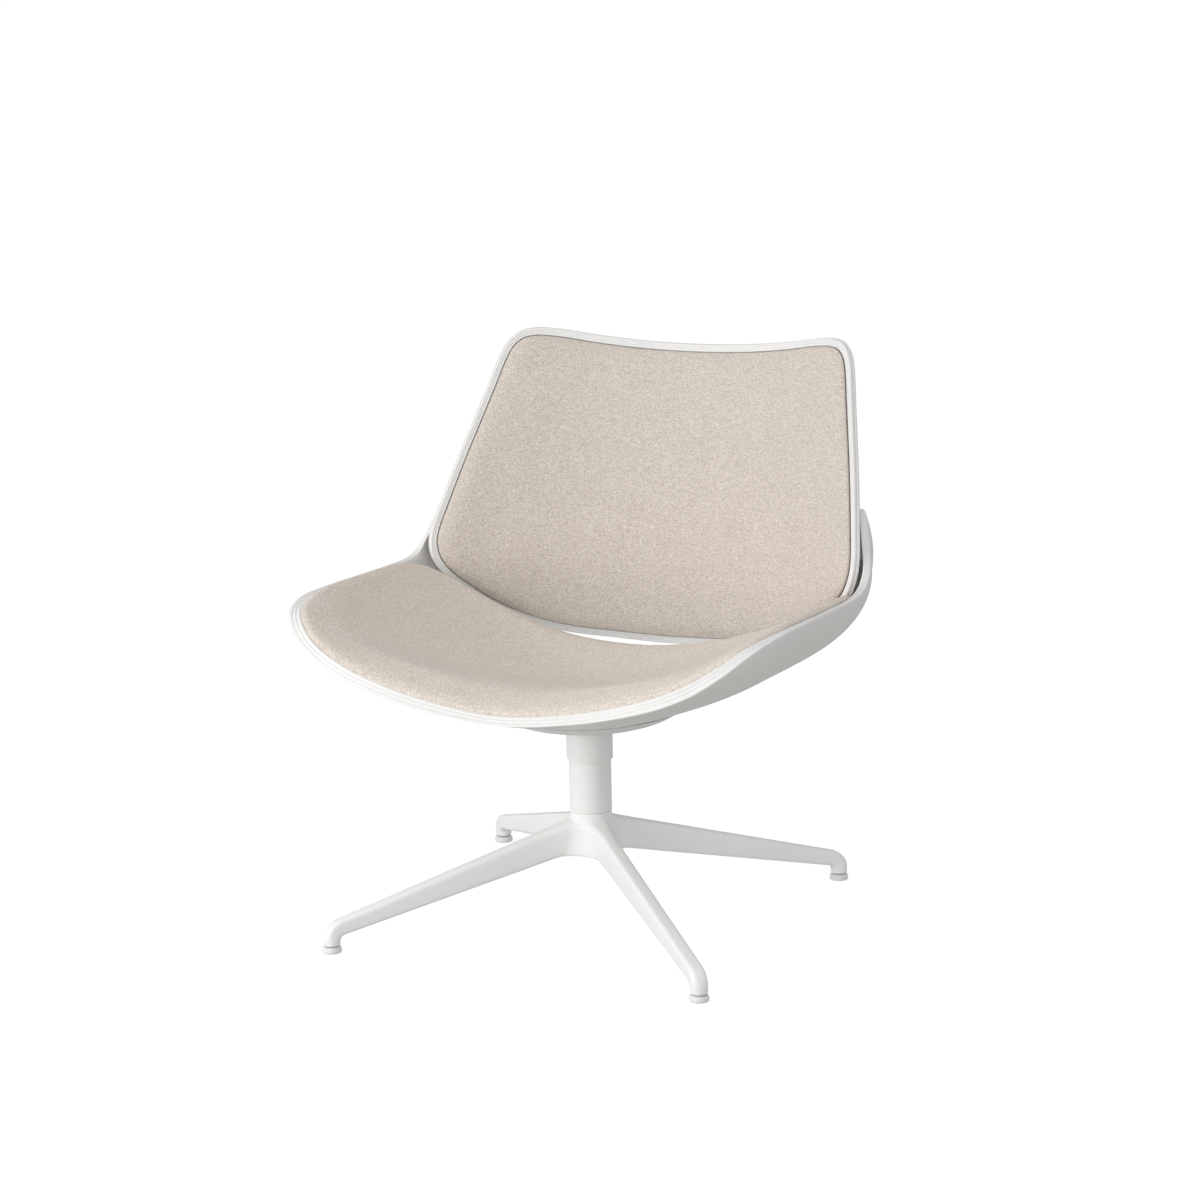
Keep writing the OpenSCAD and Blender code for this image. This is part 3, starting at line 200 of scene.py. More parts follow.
def rib_off(step, run):
    """Directions square to the ribs, from a step along each and its run over the ground."""
    run = unit(np.column_stack([run[:, :2], np.zeros(len(run))]))
    along = (step * run).sum(1)
    return unit(np.column_stack([-step[:, 2] * run[:, 0], -step[:, 2] * run[:, 1], along]))


floor_start = floor_loop(FLOOR_R - SHELL_WALL, SEAT_FLOOR + SHELL_WALL)
climb = lip - floor_start
down_rib = unit(climb * np.column_stack([turn[:, 2] - 1, turn[:, 2] - 1, turn[:, 3] - 1]))
straight = np.column_stack([-LEDGE_LEAN * lip[:, 0] / SEAT_HALF_W, np.zeros(len(lip)), -np.ones(len(lip))])
ledge = lip + PAD_RECESS * recess * unit(lerp(down_rib, unit(straight), recess))


def inner_at(s):
    return rib(floor_start, ledge, turn, s)


def inner_off(s):
    return rib_off(inner_at(s + RIB_STEP) - inner_at(s - RIB_STEP), ledge - floor_start)


def past_edge(p):
    """Whether points lie behind the seat pad's free rear edge."""
    corner_x, side_x = PAD_CORNER_SHARE * SEAT_HALF_W, PAD_SIDE_SHARE * SEAT_HALF_W
    depth = lerp(PAD_REAR_REACH, PAD_CORNER_REACH, np.minimum(1, (p[:, 0] / corner_x) ** 2))
    spread = (np.abs(p[:, 0]) / side_x) ** PAD_EDGE_POWER + (np.maximum(p[:, 1], 0) / depth) ** PAD_EDGE_POWER
    return (p[:, 1] > 0) & (spread > 1)


free_edge = past_edge(inner_at(1.0))
low, high = np.zeros(len(ledge)), np.ones(len(ledge))
for _ in range(HALVINGS):
    mid = (low + high) / 2
    over = past_edge(inner_at(mid))
    low, high = np.where(over, low, mid), np.where(over, mid, high)
rib_length = np.linalg.norm(ledge - floor_start, axis=1)
pad_end = np.where(free_edge, (low + high) / 2, 1 - PAD_JOINT / rib_length)

# Meshes
TURNED_SIDES, ROD_SIDES, MERGE_DISTANCE = 96, 64, 1e-6
TURNED_SHARP, CUT_SHARP = math.radians(40), math.radians(50)
UP = np.array([0.0, 0, 1])


def grid_object(name, rings, material, caps=(None, None)):
    """A mesh object through rings of equal length, in millimetres; each end may be closed by a point."""
    n, m = len(rings[0]), len(rings)
    pts = [place(r) for r in rings]
    verts = np.vstack(pts)
    faces = [(j * n + i, (j + 1) * n + i, (j + 1) * n + (i + 1) % n, j * n + (i + 1) % n)
             for j in range(m - 1) for i in range(n)]
    for cap, j in zip(caps, (0, m - 1)):
        if cap is None:
            continue
        verts = np.vstack([verts, place(cap)[None]])
        tip, base = len(verts) - 1, j * n
        for i in range(n):
            k = (i + 1) % n
            faces.append((tip, base + i, base + k) if j == 0 else (tip, base + k, base + i))
    mesh = bpy.data.meshes.new(name)
    mesh.from_pydata(verts.tolist(), [], faces)
    mesh.validate()
    mesh.polygons.foreach_set("use_smooth", np.ones(len(mesh.polygons), bool))
    mesh.materials.append(material)
    obj = bpy.data.objects.new(name, mesh)
    bpy.context.scene.collection.objects.link(obj)
    return obj


def loop_object(name, sections, material):
    """A closed ring-shaped object through a list of loops."""
    obj = grid_object(name, list(sections) + [sections[0]], material)
    merge(obj)
    return obj


def circle(r, z, centre=(0, 0)):
    t = np.linspace(0, 2 * math.pi, TURNED_SIDES, endpoint=False)
    return np.column_stack([centre[0] + r * np.cos(t), centre[1] + r * np.sin(t), np.full(TURNED_SIDES, z)])


def turned(name, profile, centre, material, capped=False):
    """A turned piece from its profile of radius and height; closed on itself unless capped."""
    rings = [circle(r, z, centre) for r, z in profile]
    if capped:
        obj = grid_object(name, rings, material, [np.array([*centre, profile[k][1]]) for k in (0, -1)])
        merge(obj)
    else:
        obj = loop_object(name, rings, material)
    obj.data.set_sharp_from_angle(angle=TURNED_SHARP)
    return obj


def dress(obj, body, node):
    """A piece rides on a body and stands for a CAD node, which is hidden."""
    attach(obj, body)
    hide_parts(node)


def merge(obj):
    """Joins vertices that coincide, and turns all faces outwards."""
    b = bmesh.new()
    b.from_mesh(obj.data)
    bmesh.ops.remove_doubles(b, verts=b.verts, dist=MERGE_DISTANCE)
    bmesh.ops.recalc_face_normals(b, faces=b.faces)
    b.to_mesh(obj.data)
    b.free()


def points_of(mesh):
    """A mesh's vertices, one row each, in metres."""
    co = np.zeros(len(mesh.vertices) * 3)
    mesh.vertices.foreach_get("co", co)
    return co.reshape(-1, 3)


def apply_modifier(obj, name):
    bpy.context.view_layer.objects.active = obj
    obj.select_set(True)
    bpy.ops.object.modifier_apply(modifier=name)
    obj.select_set(False)


def cut(obj, foot, axis, start, end, radius, operation="DIFFERENCE"):
    """Takes a round bar out of a piece, from start to end along an axis, or joins it on as a boss."""
    bpy.ops.mesh.primitive_cylinder_add(vertices=ROD_SIDES, radius=radius / 1000, depth=(end - start) / 1000)
    rod = bpy.context.object
    turn_to = Vector(axis).to_track_quat("Z", "Y").to_matrix().to_4x4()
    rod.data.transform(Matrix.Translation(Vector(place(foot + axis * (start + end) / 2))) @ turn_to)
    rod.location, rod.rotation_euler = (0, 0, 0), (0, 0, 0)
    rod.data.materials.append(obj.data.materials[0])
    mod = obj.modifiers.new("cut", "BOOLEAN")
    mod.operation, mod.object, mod.solver = operation, rod, "MANIFOLD"
    apply_modifier(obj, "cut")
    bpy.data.objects.remove(rod, do_unlink=True)


# Materials: noise scales are per metre of a piece's own coordinates
def new_material(name, rough=0.5, metal=0.0, sheen=0.0, level=0.5):
    """A material, its tree and its shader, with the shader's plain values set."""
    mat = bpy.data.materials.new(name)
    mat.use_nodes = True
    shader = mat.node_tree.nodes["Principled BSDF"]
    shader.inputs["Roughness"].default_value = rough
    shader.inputs["Metallic"].default_value = metal
    shader.inputs["Specular IOR Level"].default_value = level
    if sheen:
        shader.inputs["Sheen Weight"].default_value = sheen
        shader.inputs["Sheen Roughness"].default_value = 0.6
    return mat, mat.node_tree, shader


def add(tree, kind, **values):
    """A new shader node with its sockets or settings."""
    node = tree.nodes.new(kind)
    for key, value in values.items():
        if key in node.inputs:
            node.inputs[key].default_value = value
        else:
            setattr(node, key, value)
    return node


def noise(tree, coords, scale, detail=2.0, stretch=None, rough=0.5):
    if stretch:
        mapping = add(tree, "ShaderNodeMapping")
        mapping.inputs["Scale"].default_value = stretch
        tree.links.new(coords, mapping.inputs["Vector"])
        coords = mapping.outputs["Vector"]
    node = add(tree, "ShaderNodeTexNoise", Scale=scale, Detail=detail, Roughness=rough)
    tree.links.new(coords, node.inputs["Vector"])
    return node.outputs["Fac"]


def ramp(tree, value, low, high, a, b):
    """Maps value from low to high onto a to b."""
    node = add(tree, "ShaderNodeMapRange")
    for key, v in zip(("From Min", "From Max", "To Min", "To Max"), (low, high, a, b)):
        node.inputs[key].default_value = v
    tree.links.new(value, node.inputs["Value"])
    return node.outputs["Result"]


def maths(tree, kind, a, b):
    node = add(tree, "ShaderNodeMath", operation=kind)
    for socket, v in zip(node.inputs, (a, b)):
        if isinstance(v, (int, float)):
            socket.default_value = v
        else:
            tree.links.new(v, socket)
    return node.outputs["Value"]


def blend_colours(tree, fac, a, b):
    """Mixes a and b, each a colour or a socket, by the factor."""
    node = add(tree, "ShaderNodeMix", data_type="RGBA")
    for socket, v in ((node.inputs[6], a), (node.inputs[7], b)):
        if isinstance(v, tuple):
            socket.default_value = (*v, 1)
        else:
            tree.links.new(v, socket)
    tree.links.new(fac, node.inputs[0])
    return node.outputs[2]


def paint(tree, shader, fac, a, b):
    tree.links.new(blend_colours(tree, fac, a, b), shader.inputs["Base Color"])


def bump(tree, shader, height, strength, distance):
    node = add(tree, "ShaderNodeBump", Strength=strength, Distance=distance)
    tree.links.new(height, node.inputs["Height"])
    tree.links.new(node.outputs["Normal"], shader.inputs["Normal"])


def object_coords(tree):
    return add(tree, "ShaderNodeTexCoord").outputs["Object"]


def shade(colour, share):
    return tuple(c * share for c in colour)


def white_finish(name, colour, rough, grain, depth):
    """Satin white: a hint of grain in the surface, and faint changes of tone and gloss."""
    mat, tree, shader = new_material(name, rough)
    coords = object_coords(tree)
    tone = noise(tree, coords, 9, 3)
    fine = noise(tree, coords, grain, 2)
    paint(tree, shader, ramp(tree, tone, 0.3, 0.7, 0, 1), colour, shade(colour, 0.965))
    tree.links.new(ramp(tree, fine, 0.3, 0.7, rough - 0.04, rough + 0.05), shader.inputs["Roughness"])
    bump(tree, shader, fine, 0.12, depth)
    return mat


def metal_finish(name, colour, rough):
    """Turned or zinc-plated metal with fine streaks."""
    mat, tree, shader = new_material(name, rough, 1.0)
    streak = noise(tree, object_coords(tree), 60, 4, (1, 1, 14))
    paint(tree, shader, ramp(tree, streak, 0.3, 0.7, 0, 1), colour, shade(colour, 0.8))
    tree.links.new(ramp(tree, streak, 0.3, 0.7, rough - 0.06, rough + 0.1), shader.inputs["Roughness"])
    return mat


def plain_finish(name, colour, rough, scale=300):
    """Moulded plastic or rubber in one colour with a matt grain."""
    mat, tree, shader = new_material(name, rough)
    grain = noise(tree, object_coords(tree), scale, 3)
    paint(tree, shader, ramp(tree, grain, 0.35, 0.65, 0, 1), colour, shade(colour, 0.85))
    bump(tree, shader, grain, 0.15, 0.0001)
    return mat


PLY_LIGHT, PLY_DARK = (0.62, 0.44, 0.26), (0.42, 0.27, 0.14)


def wood_finish(name):
    """Plywood: long grain streaks across the board."""
    mat, tree, shader = new_material(name, 0.6)
    coords = object_coords(tree)
    grain = noise(tree, coords, 12, 5, (1, 14, 14))
    fine = noise(tree, coords, 160, 2, (1, 8, 8))
    mixed = maths(tree, "ADD", maths(tree, "MULTIPLY", grain, 0.7), maths(tree, "MULTIPLY", fine, 0.3))
    paint(tree, shader, ramp(tree, mixed, 0.35, 0.65, 0, 1), PLY_LIGHT, PLY_DARK)
    bump(tree, shader, mixed, 0.2, 0.0003)
    return mat


FELT_SCALE, MOTTLE_SCALE, CLOUD_SCALE, SLUB_SCALE, DIP_SCALE = 520, 34, 7, 88, 100
CLOTH_LIGHT, CLOTH_MID = (0.84, 0.762, 0.69), (0.785, 0.708, 0.636)
CLOTH_DARK, CLOTH_THREAD = (0.47, 0.4, 0.336), (0.92, 0.866, 0.8)


def threads(tree, coords, scale, low, high, stretches):
    """Short threads that run both ways: the stronger of two noises, each drawn out along one way."""
    both = [ramp(tree, noise(tree, coords, scale, 3, stretch, 0.6), low, high, 0, 1) for stretch in stretches]
    return maths(tree, "MAXIMUM", *both)


def fabric_finish(name, across, along, tone):
    """Felted linen and wool cloth: soft mottling, crossing slubs and dips, and a fine felt over all."""
    mat, tree, shader = new_material(name, 0.92, sheen=0.1, level=0.2)
    coords = object_coords(tree)
    felt = noise(tree, coords, FELT_SCALE, 4, rough=0.72)
    mottle = noise(tree, coords, MOTTLE_SCALE, 3)
    cloud = noise(tree, coords, CLOUD_SCALE, 2)
    slub = threads(tree, coords, SLUB_SCALE, 0.5, 0.7, (across, along))
    dip = threads(tree, coords, DIP_SCALE, 0.5, 0.3, (along, across))
    # tone scales all the cloth's colours; each pad's copy gets its own, as painted light or painted shade
    light, mid, dark, thread = (tuple(tone * v for v in colour)
                                for colour in (CLOTH_LIGHT, CLOTH_MID, CLOTH_DARK, CLOTH_THREAD))
    base = blend_colours(tree, ramp(tree, mottle, 0.3, 0.7, 0, 0.5), light, mid)
    base = blend_colours(tree, ramp(tree, cloud, 0.35, 0.75, 0, 0.2), base, mid)
    base = blend_colours(tree, maths(tree, "MULTIPLY", slub, 0.7), base, thread)
    base = blend_colours(tree, maths(tree, "MULTIPLY", dip, 0.6), base, dark)
    paint(tree, shader, ramp(tree, felt, 0.42, 0.66, 0, 0.95), base, dark)
    height = maths(tree, "ADD", felt, maths(tree, "MULTIPLY", slub, 0.45))
    height = maths(tree, "SUBTRACT", height, maths(tree, "MULTIPLY", dip, 0.35))
    bump(tree, shader, height, 0.6, 0.0009)
    return mat


WHITE_SHELL = white_finish("white_moulded_shell", (0.8, 0.79, 0.775), 0.42, 900, 0.00005)
WHITE_METAL = white_finish("white_painted_metal", (0.9, 0.892, 0.88), 0.44, 1400, 0.00004)
WHITE_GLIDE = white_finish("white_glide_plastic", (0.8, 0.8, 0.79), 0.5, 700, 0.00004)
STEEL = metal_finish("zinc_plated_steel", (0.58, 0.58, 0.6), 0.36)
BRASS = metal_finish("insert_brass", (0.72, 0.52, 0.22), 0.34)
DARK_PLASTIC = plain_finish("dark_bush_plastic", (0.06, 0.06, 0.06), 0.55)
RUBBER = plain_finish("spacer_rubber", (0.04, 0.04, 0.04), 0.75, 500)
PLYWOOD = wood_finish("moulded_plywood")
# The cloth's threads lie in the seat's ground plane and in the back's upright one
# One cloth in two copies: the seat's is painted lighter and the back's darker by their last numbers, painted
# light and painted shade
SEAT_FABRIC = fabric_finish("linen_wool_cloth_seat_painted_lighter", (8, 1, 8), (1, 8, 1), 1.04)
BACK_FABRIC = fabric_finish("linen_wool_cloth_back_painted_darker", (8, 8, 1), (1, 1, 8), 0.93)
BY_SLOT = {"painted_base": WHITE_METAL, "shell_plastic": WHITE_SHELL, "glide_plastic": WHITE_GLIDE,
           "plain_steel": STEEL, "insert_brass": BRASS, "bush_plastic": DARK_PLASTIC, "spacer_rubber": RUBBER,
           "board_plywood": PLYWOOD, "woven_fabric": SEAT_FABRIC}
for part in frame["record"]["subparts"]:
    if part["node"] in NODES:
        mesh = NODES[part["node"]].data
        mesh.materials.clear()
        mesh.materials.append(BY_SLOT[part["material_slot"]])

# Seat shell: outer skin, ridged lip, recess and inner skin
RIB_PLACES = 61
# Ridges over the lip: share of its width and height; they fade to a plain rounding on the wings
LIP_PROFILE = [(0.015, 0.45), (0.05, 0.85), (0.1, 1.05), (0.2, 1.1), (0.3, 1.05), (0.335, 0.75), (0.36, 0.2),
               (0.385, 0.2), (0.41, 0.75), (0.445, 1.05), (0.52, 1.1), (0.6, 1.05), (0.635, 0.75),
               (0.66, 0.2), (0.685, 0.2), (0.71, 0.75), (0.745, 1.05), (0.85, 1.1), (0.93, 0.95),
               (0.975, 0.55), (0.995, 0.1)]
PLAIN_LIP, PLAIN_POWER, RIDGE_LIMIT_SHARE = 1.05, 6, 0.09
RIDGE_FROM, RIDGE_FADE = 0.1, 0.5
outer_start = floor_loop(FLOOR_R, SEAT_FLOOR)
shell_rings = [rib(outer_start, rim, turn, s) for s in np.linspace(0, 1, RIB_PLACES)]
rim_to_lip = lip - rim
width = np.linalg.norm(rim_to_lip, axis=1, keepdims=True)
off_lip = unit(np.cross(np.roll(rim, -1, 0) - np.roll(rim, 1, 0), rim_to_lip))
ridged = np.clip((recess - RIDGE_FROM) / RIDGE_FADE, 0, 1)
for share, ridge in LIP_PROFILE:
    plain = PLAIN_LIP * (1 - abs(2 * share - 1) ** PLAIN_POWER)
    height = np.minimum(lerp(plain, ridge, ridged), width * RIDGE_LIMIT_SHARE)
    shell_rings.append(rim + rim_to_lip * share + off_lip * height)
shell_rings += [lip, lerp(lip, ledge, 0.5)]
shell_rings += [inner_at(s) for s in np.linspace(1, 0, RIB_PLACES)]
seat_shell = grid_object("seat_shell_skin", shell_rings, WHITE_SHELL,
                         (np.array([0, 0, SEAT_FLOOR]), np.array([0, 0, SEAT_FLOOR + SHELL_WALL])))


def wing_axes():
    """Foot and direction of each wing bolt's axis, square to the back, and the length of its boss."""
    for side in (-1, 1):
        for share, length in WING_BOLTS:
            u, z = side * WING_BOLT_SHARE * BACK_HALF_W, lerp(BACK_BOTTOM_Z, BACK_TOP_Z, share)
            r = WRAP_R + (z - BACK_MID_Z) * WRAP_GROWTH
            a = u / r
            run = back_point(u, z + 1, 0) - back_point(u, z - 1, 0)
            t = math.atan((run[0] * math.sin(a) + run[1] * math.cos(a)) / run[2])
            axis = np.array([math.sin(a) * math.cos(t), math.cos(a) * math.cos(t), -math.sin(t)])
            yield back_point(u, z, 0), axis, length


lean_cos = min(math.sqrt(1 - axis[2] ** 2) for _, axis, _ in wing_axes())
seat_e = BACK_T * lean_cos + WING_GAP
for foot, axis, length in wing_axes():
    boss_end = seat_e + length
    cut(seat_shell, foot, axis, seat_e, boss_end, BOSS_R, "UNION")
    cut(seat_shell, foot, axis, seat_e - OVERRUN, boss_end + OVERRUN, BOLT_HOLE_R)
    cut(seat_shell, foot, axis, boss_end, boss_end + CAP_HOLE_LENGTH, CAP_HOLE_R)
seat_shell.data.set_sharp_from_angle(angle=CUT_SHARP)
dress(seat_shell, "seat", "seat_shell")

# Back: its outline, and rings over it
BACK_COLUMNS, BACK_CENTRE_SHARE = 190, 0.45
outline = whole([(u * BACK_HALF_W, lerp(BACK_BOTTOM_Z, BACK_TOP_Z, z), 0) for u, z in BACK], BACK_COLUMNS)
back_centre = np.array([0, lerp(BACK_BOTTOM_Z, BACK_TOP_Z, BACK_CENTRE_SHARE), 0])
edge_run = unit(np.roll(outline, -1, 0) - np.roll(outline, 1, 0))
edge_out = np.column_stack([edge_run[:, 1], -edge_run[:, 0], np.zeros(len(outline))])


def back_ring(q, g, e):
    """Ring at share q from the back's centre to its outline, then g further out, at e."""
    p = lerp(back_centre, outline, q) + g * edge_out
    return back_point(p[:, 0], p[:, 1], e)


def back_apex(e):
    return back_point(0, back_centre[1], e)


# Frame: share of its width and e, with its two fine grooves
FRAME_PROFILE = [(0, 5.1), (0, 1.1), (0.03, 0.6), (0.08, 0.2), (0.15, 0), (0.27, 0), (0.31, 0.25),
                 (0.335, 0.75), (0.365, 0.75), (0.39, 0.25), (0.43, 0), (0.58, 0), (0.62, 0.25),
                 (0.645, 0.75), (0.675, 0.75), (0.7, 0.25), (0.74, 0), (0.84, 0.05), (0.92, 0.35),
                 (0.97, 0.9), (1, 1.7), (1, 4.8), (0.97, 5.1)]
back_frame = loop_object(
    "back_frame_ring", [back_ring(1, FRAME_JOINT + s * FRAME_W, e) for s, e in FRAME_PROFILE], WHITE_SHELL)
dress(back_frame, "seat", "back_frame")

# Back shell: shares of its rings, and its rounded edge as distance in from the frame's outside, and e
BACK_SHARES = [0.12, 0.25, 0.4, 0.55, 0.7, 0.82, 0.91, 1]
BACK_EDGE = [(3.6, 11), (2.2, 10.8), (1.1, 10.2), (0.35, 9.3), (0, 8.2), (0, 6.2), (0.25, 5.7), (0.9, 5.5)]
outside = FRAME_JOINT + FRAME_W
panel_rings = [back_ring(q, 0, BACK_T) for q in BACK_SHARES]
panel_rings += [back_ring(1, outside - inset, e) for inset, e in BACK_EDGE]
panel_rings += [back_ring(q, 0, BACK_FACE_E) for q in BACK_SHARES[::-1]]
back_shell = grid_object("back_shell_skin", panel_rings, WHITE_SHELL,
                         (back_apex(BACK_T), back_apex(BACK_FACE_E)))
dress(back_shell, "seat", "back_shell")

# Star base: arms and hub drawn apart, joined by a remesh that rounds the roots. An arm's rows are shares of
# the foot's reach and of the root's extra width
ARM_STATIONS = np.array([(0.02, 1.1), (0.052, 1), (0.082, 0.62), (0.113, 0.34), (0.16, 0.14), (0.258, 0.03),
                         (0.515, 0), (0.773, 0), (0.902, 0)])
ARM_SIDES, ARM_PLACES, ELBOW_PLACES, WEB_PLACES = 48, 40, 14, 40
# The web's hollow corners, in degrees of their arcs
WEB_FROM, WEB_TO = 225, 135
# Powers of the sections: a rounded square for the arm, a circle for the foot
SQUARE, ROUND = 5, 2
# Hub: share of the tube's radius and share of the hub's height
HUB_PROFILE = [(1.03, 0), (1.1, 0.03), (1.085, 0.2), (1.035, 0.48), (1, 0.85), (1, 0.975), (0.985, 1)]
# Remesh and smoothing of the casting, in metres: full near the hub, slight further out
BASE_VOXEL, BASE_ROUNDS = ((0.0014, 34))
FULL_REACH, FULL_FADE, FAR_SMOOTHING = 0.105, 0.03, 0.2
arm_tip_reach = FOOT_REACH - ELBOW_R


def arm_edge(r, root, tip):
    return lerp(root, tip, (r - ARM_ROOT_REACH) / (arm_tip_reach - ARM_ROOT_REACH))


def arm_mid(r):
    return (arm_edge(r, ARM_ROOT_TOP, ARM_TIP_TOP) + arm_edge(r, ARM_ROOT_BOTTOM, ARM_TIP_BOTTOM)) / 2


def arm_half(r):
    return (arm_edge(r, ARM_ROOT_TOP, ARM_TIP_TOP) - arm_edge(r, ARM_ROOT_BOTTOM, ARM_TIP_BOTTOM)) / 2


heading0 = math.atan((arm_mid(ARM_ROOT_REACH) - arm_mid(arm_tip_reach)) / (arm_tip_reach - ARM_ROOT_REACH))
elbow_start = arm_tip_reach + ELBOW_R * math.sin(heading0)
elbow_z = arm_mid(elbow_start) - ELBOW_R * math.cos(heading0)


def arm_section(at, heading, half_h, half_w, power, a):
    """Section of the arm at angle a: at reach and height, square to its heading."""
    t = np.linspace(0, 2 * math.pi, ARM_SIDES, endpoint=False)
    side = half_w * np.sign(np.cos(t)) * np.abs(np.cos(t)) ** (2 / power)
    up = half_h * np.sign(np.sin(t)) * np.abs(np.sin(t)) ** (2 / power)
    p = np.column_stack([at[0] + up * math.sin(heading), side, at[1] + up * math.cos(heading)])
    c, s = math.cos(a), math.sin(a)
    return np.column_stack([p[:, 0] * c - p[:, 1] * s, p[:, 0] * s + p[:, 1] * c, p[:, 2]])


def arm_rings(a):
    rings = []
    for f in np.linspace(0, len(ARM_STATIONS) - 1, ARM_PLACES):
        share, wide = [np.interp(f, range(len(ARM_STATIONS)), ARM_STATIONS[:, k]) for k in (0, 1)]
        r = share * FOOT_REACH
        rings.append(arm_section((r, arm_mid(r)), heading0, arm_half(r) * math.cos(heading0),
                                 lerp(ARM_W, ARM_ROOT_W, wide) / 2, SQUARE, a))
    half = arm_half(elbow_start) * math.cos(heading0)
    for f in np.linspace(0, 1, ELBOW_PLACES):
        h = lerp(heading0, math.pi / 2, f)
        at = (arm_tip_reach + ELBOW_R * math.sin(h), elbow_z + ELBOW_R * math.cos(h))
        rings.append(arm_section(at, h, lerp(half, FOOT_D / 2, f), lerp(ARM_W, FOOT_D, f) / 2,
                                 lerp(SQUARE, ROUND, f), a))
    for rise, inset in ((FOOT_EDGE_H, 0), (0, FOOT_EDGE_W)):
        foot_r = FOOT_D / 2 - inset
        rings.append(arm_section((FOOT_REACH, FOOT_BOTTOM + rise), math.pi / 2, foot_r, foot_r, ROUND, a))
    return rings


def web_rings():
    """Hollow corners between neighbouring arms, from the hub's foot to just below the arms' top edges."""
    reach = ARM_W / 2 + WEB_R
    points = []
    for gap in range(4):
        for t in np.linspace(WEB_FROM, WEB_TO, WEB_PLACES):
            x = math.sqrt(2) * reach + WEB_R * math.cos(math.radians(t))
            y = WEB_R * math.sin(math.radians(t))
            a = math.radians(90 * gap)
            points.append((x * math.cos(a) - y * math.sin(a), x * math.sin(a) + y * math.cos(a)))
    points = np.array(points)
    spread = np.linalg.norm(points, axis=1)
    roof = [arm_edge(s, ARM_ROOT_TOP, ARM_TIP_TOP) - WEB_DROP for s in spread]
    return [np.column_stack([points, np.full(len(points), HUB_BOTTOM)]), np.column_stack([points, roof])]


def build_base():
    """Web, four arms and hub, joined and remeshed to one casting."""
    hub_foot, hub_roof = np.array([0, 0, HUB_BOTTOM]), np.array([0, 0, HUB_TOP])
    web_roof = np.array([0, 0, arm_edge(0, ARM_ROOT_TOP, ARM_TIP_TOP) - WEB_DROP])
    pieces = [grid_object("web", web_rings(), WHITE_METAL, (hub_foot, web_roof))]
    for a in ARM_ANGLES:
        rings = arm_rings(math.radians(a))
        pieces.append(grid_object("arm", rings, WHITE_METAL, (rings[0].mean(0), rings[-1].mean(0))))
    rings = [circle(r * TUBE_R, lerp(HUB_BOTTOM, HUB_TOP, z)) for r, z in HUB_PROFILE]
    pieces.append(grid_object("hub", rings, WHITE_METAL, (hub_foot, hub_roof)))
    for p in pieces:
        p.select_set(True)
    bpy.context.view_layer.objects.active = pieces[0]
    bpy.ops.object.join()
    base = pieces[0]
    base.name = "star_base_casting"
    base.data.name = "star_base_casting"
    remesh = base.modifiers.new("remesh", "REMESH")
    remesh.mode, remesh.voxel_size, remesh.use_smooth_shade = "VOXEL", BASE_VOXEL, True
    apply_modifier(base, "remesh")
    near = base.vertex_groups.new(name="near_hub")
    for v in base.data.vertices:
        spread = math.hypot(v.co.x, v.co.y - COLUMN_Y / 1000)
        closeness = min(1, max(0, (FULL_REACH - spread) / FULL_FADE))
        near.add([v.index], FAR_SMOOTHING + (1 - FAR_SMOOTHING) * closeness, "REPLACE")
    smooth = base.modifiers.new("smooth", "SMOOTH")
    smooth.factor, smooth.iterations, smooth.vertex_group = 0.5, BASE_ROUNDS, "near_hub"
    apply_modifier(base, "smooth")
    base.select_set(False)
    return base


star_base = build_base()
# The faces that other pieces stand on are set back to their true heights, and the bores are cut again
co = points_of(star_base.data)
co[:, 2] = np.clip(co[:, 2], FOOT_BOTTOM / 1000, HUB_TOP / 1000)
star_base.data.vertices.foreach_set("co", co.ravel())
# The bores are cut from clear below to clear above what they pierce
AXIS_FOOT = np.array([0.0, 0, 0])
BELOW_HUB, ABOVE_HUB, BELOW_FOOT, BORE_OVERLAP = 80, 170, 5, 3
cut(star_base, AXIS_FOOT, UP, SOCKET_FLOOR, ABOVE_HUB, SOCKET_R)
cut(star_base, AXIS_FOOT, UP, BELOW_HUB, SOCKET_FLOOR + BORE_OVERLAP, BOLT_BORE_R)
for a in ARM_ANGLES:
    foot = FOOT_REACH * np.array([math.cos(math.radians(a)), math.sin(math.radians(a)), 0])
    cut(star_base, foot, UP, BELOW_FOOT, FOOT_BOTTOM + FOOT_BORE_DEPTH, FOOT_BORE_R)
star_base.data.polygons.foreach_set("use_smooth", np.ones(len(star_base.data.polygons), bool))
star_base.data.set_sharp_from_angle(angle=CUT_SHARP)
dress(star_base, "base", "star_base")

# Column, sleeve and glides, turned finely with their small edge roundings: rows of radius and height
TUBE = [(27, 158), (29.2, 158), (29.75, 158.2), (30, 158.8), (30, 227.8), (29.4, 228.1), (29.4, 228.7),
        (30, 229), (30, 289), (27, 289)]
SLEEVE = [(30.3, 233), (32.3, 233), (32.75, 233.2), (32.9, 233.7), (32.9, 299), (30.3, 299)]
GLIDE = [(11.6, 0), (12.7, 0.3), (13.3, 0.8), (13.5, 1.5), (13.5, 5.5), (13.3, 6.2), (12.6, 6.8),
         (11.75, 7.1), (11.75, 8.8), (11.55, 9), (4.03, 9), (4.03, 6)]
dress(turned("column_tube_drawn", TUBE, (0, 0), WHITE_METAL), "base", "column_tube")
dress(turned("column_sleeve_drawn", SLEEVE, (0, 0), WHITE_METAL), "seat", "column_sleeve")
for depth, y in (("front", -1), ("rear", 1)):
    for side, x in (("left", -1), ("right", 1)):
        name = "glide_%s_%s" % (depth, side)
        at = (x * FOOT_REACH / math.sqrt(2), y * FOOT_REACH / math.sqrt(2))
        dress(turned(name + "_disc", GLIDE, at, WHITE_GLIDE, True), name + "_body", name)

